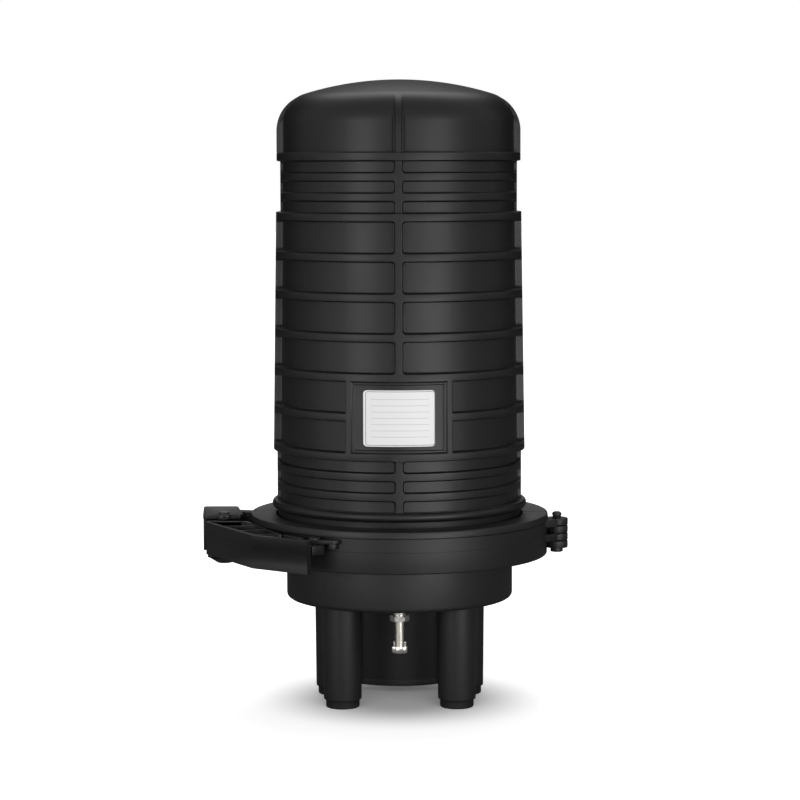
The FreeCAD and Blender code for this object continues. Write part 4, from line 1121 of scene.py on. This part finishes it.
def thread(low, steps=28):
    """A helical thread on a closed core."""
    bm = bmesh.new()
    root = stem_r - thread_depth
    outline = [(root, 0), (stem_r, 0.36), (stem_r, 0.46), (root, thread_pitch)]
    verts, edges = chain(bm, [(r, low + z) for r, z in outline])
    spin(bm, verts + edges, 360 * thread_turns, steps * thread_turns,
         dvec=(0, 0, thread_pitch / steps))
    merge(bm, 0.01)
    bmesh.ops.holes_fill(bm, edges=[e for e in bm.edges if e.is_boundary], sides=0)
    move(bm, bm.verts, y=valve_y)
    return bm


def valve_stem():
    """A tube with its head inside the drum and a plain core under the thread."""
    head_low, head_top, head_r = floor_z + 1.4, floor_z + 5.9, 6.6
    core_r = stem_r - thread_depth
    return spun(rounded([
        (stem_bore, stem_end, 0.3), (core_r, stem_end, 0.4), (core_r, drum_z - 1),
        (stem_r, drum_z - 1), (stem_r, head_low), (head_r, head_low), (head_r, head_top, 0.8),
        (0, head_top), (0, head_top - 1.5), (stem_bore, head_top - 1.5),
    ], 3), (0, valve_y), 48)


bored_thread = cut(thread(stem_end + 0.6), hole(0, valve_y, 2.4, stem_end - 1, drum_z + 1))
piece("valve_stem", together(valve_stem(), bored_thread), "closure", "bright_metal",
      "valve_body", sharp=radians(30))


# %% Nut and cap
def hex_nut(across_flats=11.2):
    """A hexagon with turned corners, and the spigot above it."""
    high = drum_z - 2.9
    low, corner = high - 4.3, across_flats / math.sqrt(3)
    outline = [polar(60 * k, corner) + Vector((0, valve_y)) for k in range(6)]
    rounding = turned([(0, low), (5.5, low), (6.5, low + 0.6), (6.5, high - 0.6), (5.5, high),
                       (0, high)], centre=(0, valve_y), steps=72)
    hexagon = cut(slab(outline, low, high, 0), rounding, operation="INTERSECT")
    spigot = disc(0, valve_y, high - 0.5, drum_z, 4.3, 0.3)
    return together(*[cut(shape, hole(0, valve_y, stem_r + 0.06)) for shape in (hexagon, spigot)])


def knurled(radius, low, high, count=40, depth=0.22):
    """A short cylinder with upright grooves round it."""
    corners = [(0, low), (radius, low, 0.7), (radius, high, 0.4), (0, high)]
    bm = turned(corners, steps=2 * count)
    for v in bm.verts:
        column = round(math.degrees(math.atan2(v.co.y, v.co.x)) * count / 180)
        if column % 2 and math.hypot(v.co.x, v.co.y) > radius - 0.3:
            v.co.xy *= 1 - depth / radius
    move(bm, bm.verts, y=valve_y)
    return bm


def screw_cap(prong_half=1.8):
    """A knurled ring with a floor, and two prongs that unscrew the valve's core."""
    low = stem_end - 1.4
    ring_high, high = low + 4.6, low + 8.0
    bore = stem_r + 0.1
    ring = cut(knurled(5.1, low, ring_high), hole(0, valve_y, bore, low + 1.4, high))
    front, back = valve_y - prong_half, valve_y + prong_half
    prongs = slab([(-9, front), (9, front), (9, back), (-9, back)], low, high + 1, 0)
    sleeve = cut(disc(0, valve_y, ring_high - 0.5, high, 4.45, 0.3), prongs,
                 operation="INTERSECT")
    return together(ring, cut(sleeve, hole(0, valve_y, bore)))


fine = radians(25)
piece("hex_nut", hex_nut(), "closure", "bright_metal", "valve_nut", sharp=fine)
piece("screw_cap", screw_cap(), "valve_cap", "bright_metal", "valve_cap", sharp=fine)

# %% [markdown]
# ## Studio
# A near-black object is drawn by what it mirrors. Two broad soft boxes in front, left
# and right, give each field of the dome two soft upright bands with a dark line
# between them. A low box draws the bright band on clamp and drum, a faint one at the
# left picks out the lever, one overhead lights the crown, and a fill that isn't
# mirrored lights the label and the floor. Floor and background are white to camera
# and glass, less so to mirror rays, and black boards keep that white out of the
# dome's flanks.

# %% Lights
def soft_box(name, place, target, width, height, power):
    """A rectangular area light that faces a point."""
    data = bpy.data.lights.new(name, "AREA")
    data.shape = "RECTANGLE"
    data.size = width
    data.size_y = height
    data.energy = power
    light = placed(name, data)
    aim = (Vector(target) - Vector(place)).to_track_quat("-Z", "Y")
    light.matrix_world = Matrix.Translation(place) @ aim.to_matrix().to_4x4()
    return light


middle = (0, 0, 0.22)
soft_box("box_left", (-1.20, -1.7, 0.28), middle, 0.92, 0.5, 12)
soft_box("box_right", (1.30, -1.6, 0.26), middle, 0.95, 0.5, 10.5)
soft_box("box_low", (0.34, -0.90, 0.03), (0.02, -0.1, 0.12), 0.62, 0.32, 4.6)
soft_box("box_side", (-1.30, -0.48, 0.10), (-0.1, -0.08, 0.11), 0.45, 0.3, 1.1)
soft_box("box_top", (0, 1.2, 2.4), middle, 2.2, 1.4, 22)
fill = soft_box("fill", (0, -2.2, 1.1), middle, 1.6, 1.2, 14)
fill.visible_glossy = False


# %% White surroundings
def seen_share(tree, glossy):
    """1 for camera and glass rays, a share for mirror rays, 0 for the rays that light."""
    rays = add(tree, "ShaderNodeLightPath").outputs
    seen = math_node(tree, "MAXIMUM", rays["Is Camera Ray"], rays["Is Transmission Ray"])
    mirrored = math_node(tree, "MULTIPLY", rays["Is Glossy Ray"], glossy)
    return math_node(tree, "MAXIMUM", seen, mirrored)


world = bpy.data.worlds.new("studio")
scene.world = world
world.use_nodes = True
room_light = 0.12
mirrored_share = 0.6
sky = world.node_tree
give(sky, sky.nodes["Background"], {
    "Color": (1, 1, 1, 1),
    "Strength": math_node(sky, "MAXIMUM", seen_share(sky, mirrored_share), room_light),
})


def smooth_step(tree, value, first, last, low, high):
    """A number that eases from low to high while the value goes from first to last."""
    inputs = {"Value": value, "From Min": first, "From Max": last, "To Min": low, "To Max": high}
    return add(tree, "ShaderNodeMapRange", inputs,
               interpolation_type="SMOOTHSTEP").outputs["Result"]


def floor_paper():
    """White paper that runs out into the white backdrop. Mirror rays see it darker, a painted
    darkening of its reflection, and its glow drops towards the closure, painted shade added to
    the contact shadow that the lamps cast.
    """
    material, tree, shader = new_material("floor_paper")
    mirrored = add(tree, "ShaderNodeLightPath").outputs["Is Glossy Ray"]
    # Mirror rays see the paper at 0.12 instead of 0.85: a painted darkening of the floor's
    # reflection in the closure.
    give(tree, shader, {
        "Base Color": colour_mix(tree, mirrored, (0.85, 0.85, 0.85), (0.12, 0.12, 0.12)),
        "Roughness": 0.9,
        "Specular IOR Level": 0.0,
    })
    # The glow makes the floor white far out and falls to 0.08 at the closure's foot: painted
    # shade round the foot, added to the contact shadow that the lamps cast.
    away = add(tree, "ShaderNodeVectorMath", {0: own_place(tree)}, operation="LENGTH")
    distance = away.outputs["Value"]
    near = smooth_step(tree, distance, 0.03, 0.11, 0.08, 0.70)
    far = smooth_step(tree, distance, 0.11, 0.32, 0.0, 0.45)
    strength = math_node(tree, "MULTIPLY", math_node(tree, "ADD", near, far),
                         seen_share(tree, 0.04))
    backdrop_glow_and_painted_shade = add(tree, "ShaderNodeEmission", {"Strength": strength})
    both = add(tree, "ShaderNodeAddShader", {0: shader.outputs[0], 1: backdrop_glow_and_painted_shade.outputs[0]})
    give(tree, tree.nodes["Material Output"], {"Surface": both.outputs[0]})
    return material


def staged(name, bm, material, unseen_by=()):
    """A thing of the studio, which isn't part of the object."""
    thing = placed(name, mesh_of(bm, name))
    thing.data.materials.append(material)
    for ray in unseen_by:
        setattr(thing, "visible_" + ray, False)


# %% Flags
def flag(name, ends, foot, height):
    """A black board that keeps the white backdrop out of the closure's flanks."""
    bm = bmesh.new()
    edge = bm.edges.new([bm.verts.new((x, y, foot)) for x, y in ends])
    made = bmesh.ops.extrude_edge_only(bm, edges=[edge])
    move(bm, only(bmesh.types.BMVert, made["geom"]), z=height)
    staged(name, bm, flag_cloth, ("camera", "diffuse", "transmission", "shadow"))


flag_cloth, tree, shader = new_material("flag_cloth")
give(tree, shader, {"Base Color": (0.01, 0.01, 0.01, 1), "Roughness": 1.0,
                    "Specular IOR Level": 0.0})
near_left, near_right = (-0.55, 2.0), (0.55, 2.0)
flag("flag_left", (near_left, (-2.6, 1.2)), 0, 2.2)
flag("flag_right", (near_right, (2.6, 1.2)), 0, 2.2)
flag("flag_high", (near_left, near_right), 0.78, 1.2)

# %% Floor
floor_bm = bmesh.new()
bmesh.ops.create_grid(floor_bm, x_segments=1, y_segments=1, size=12.0)
staged("floor", floor_bm, floor_paper())

scene.view_settings.view_transform = "Standard"

# %% Finishes of the pieces that keep their modelled shape
for entry in frame["record"]["subparts"]:
    materials = frame["nodes"][entry["node"]].data.materials
    materials.clear()
    materials.append(finishes[entry["material_slot"]])
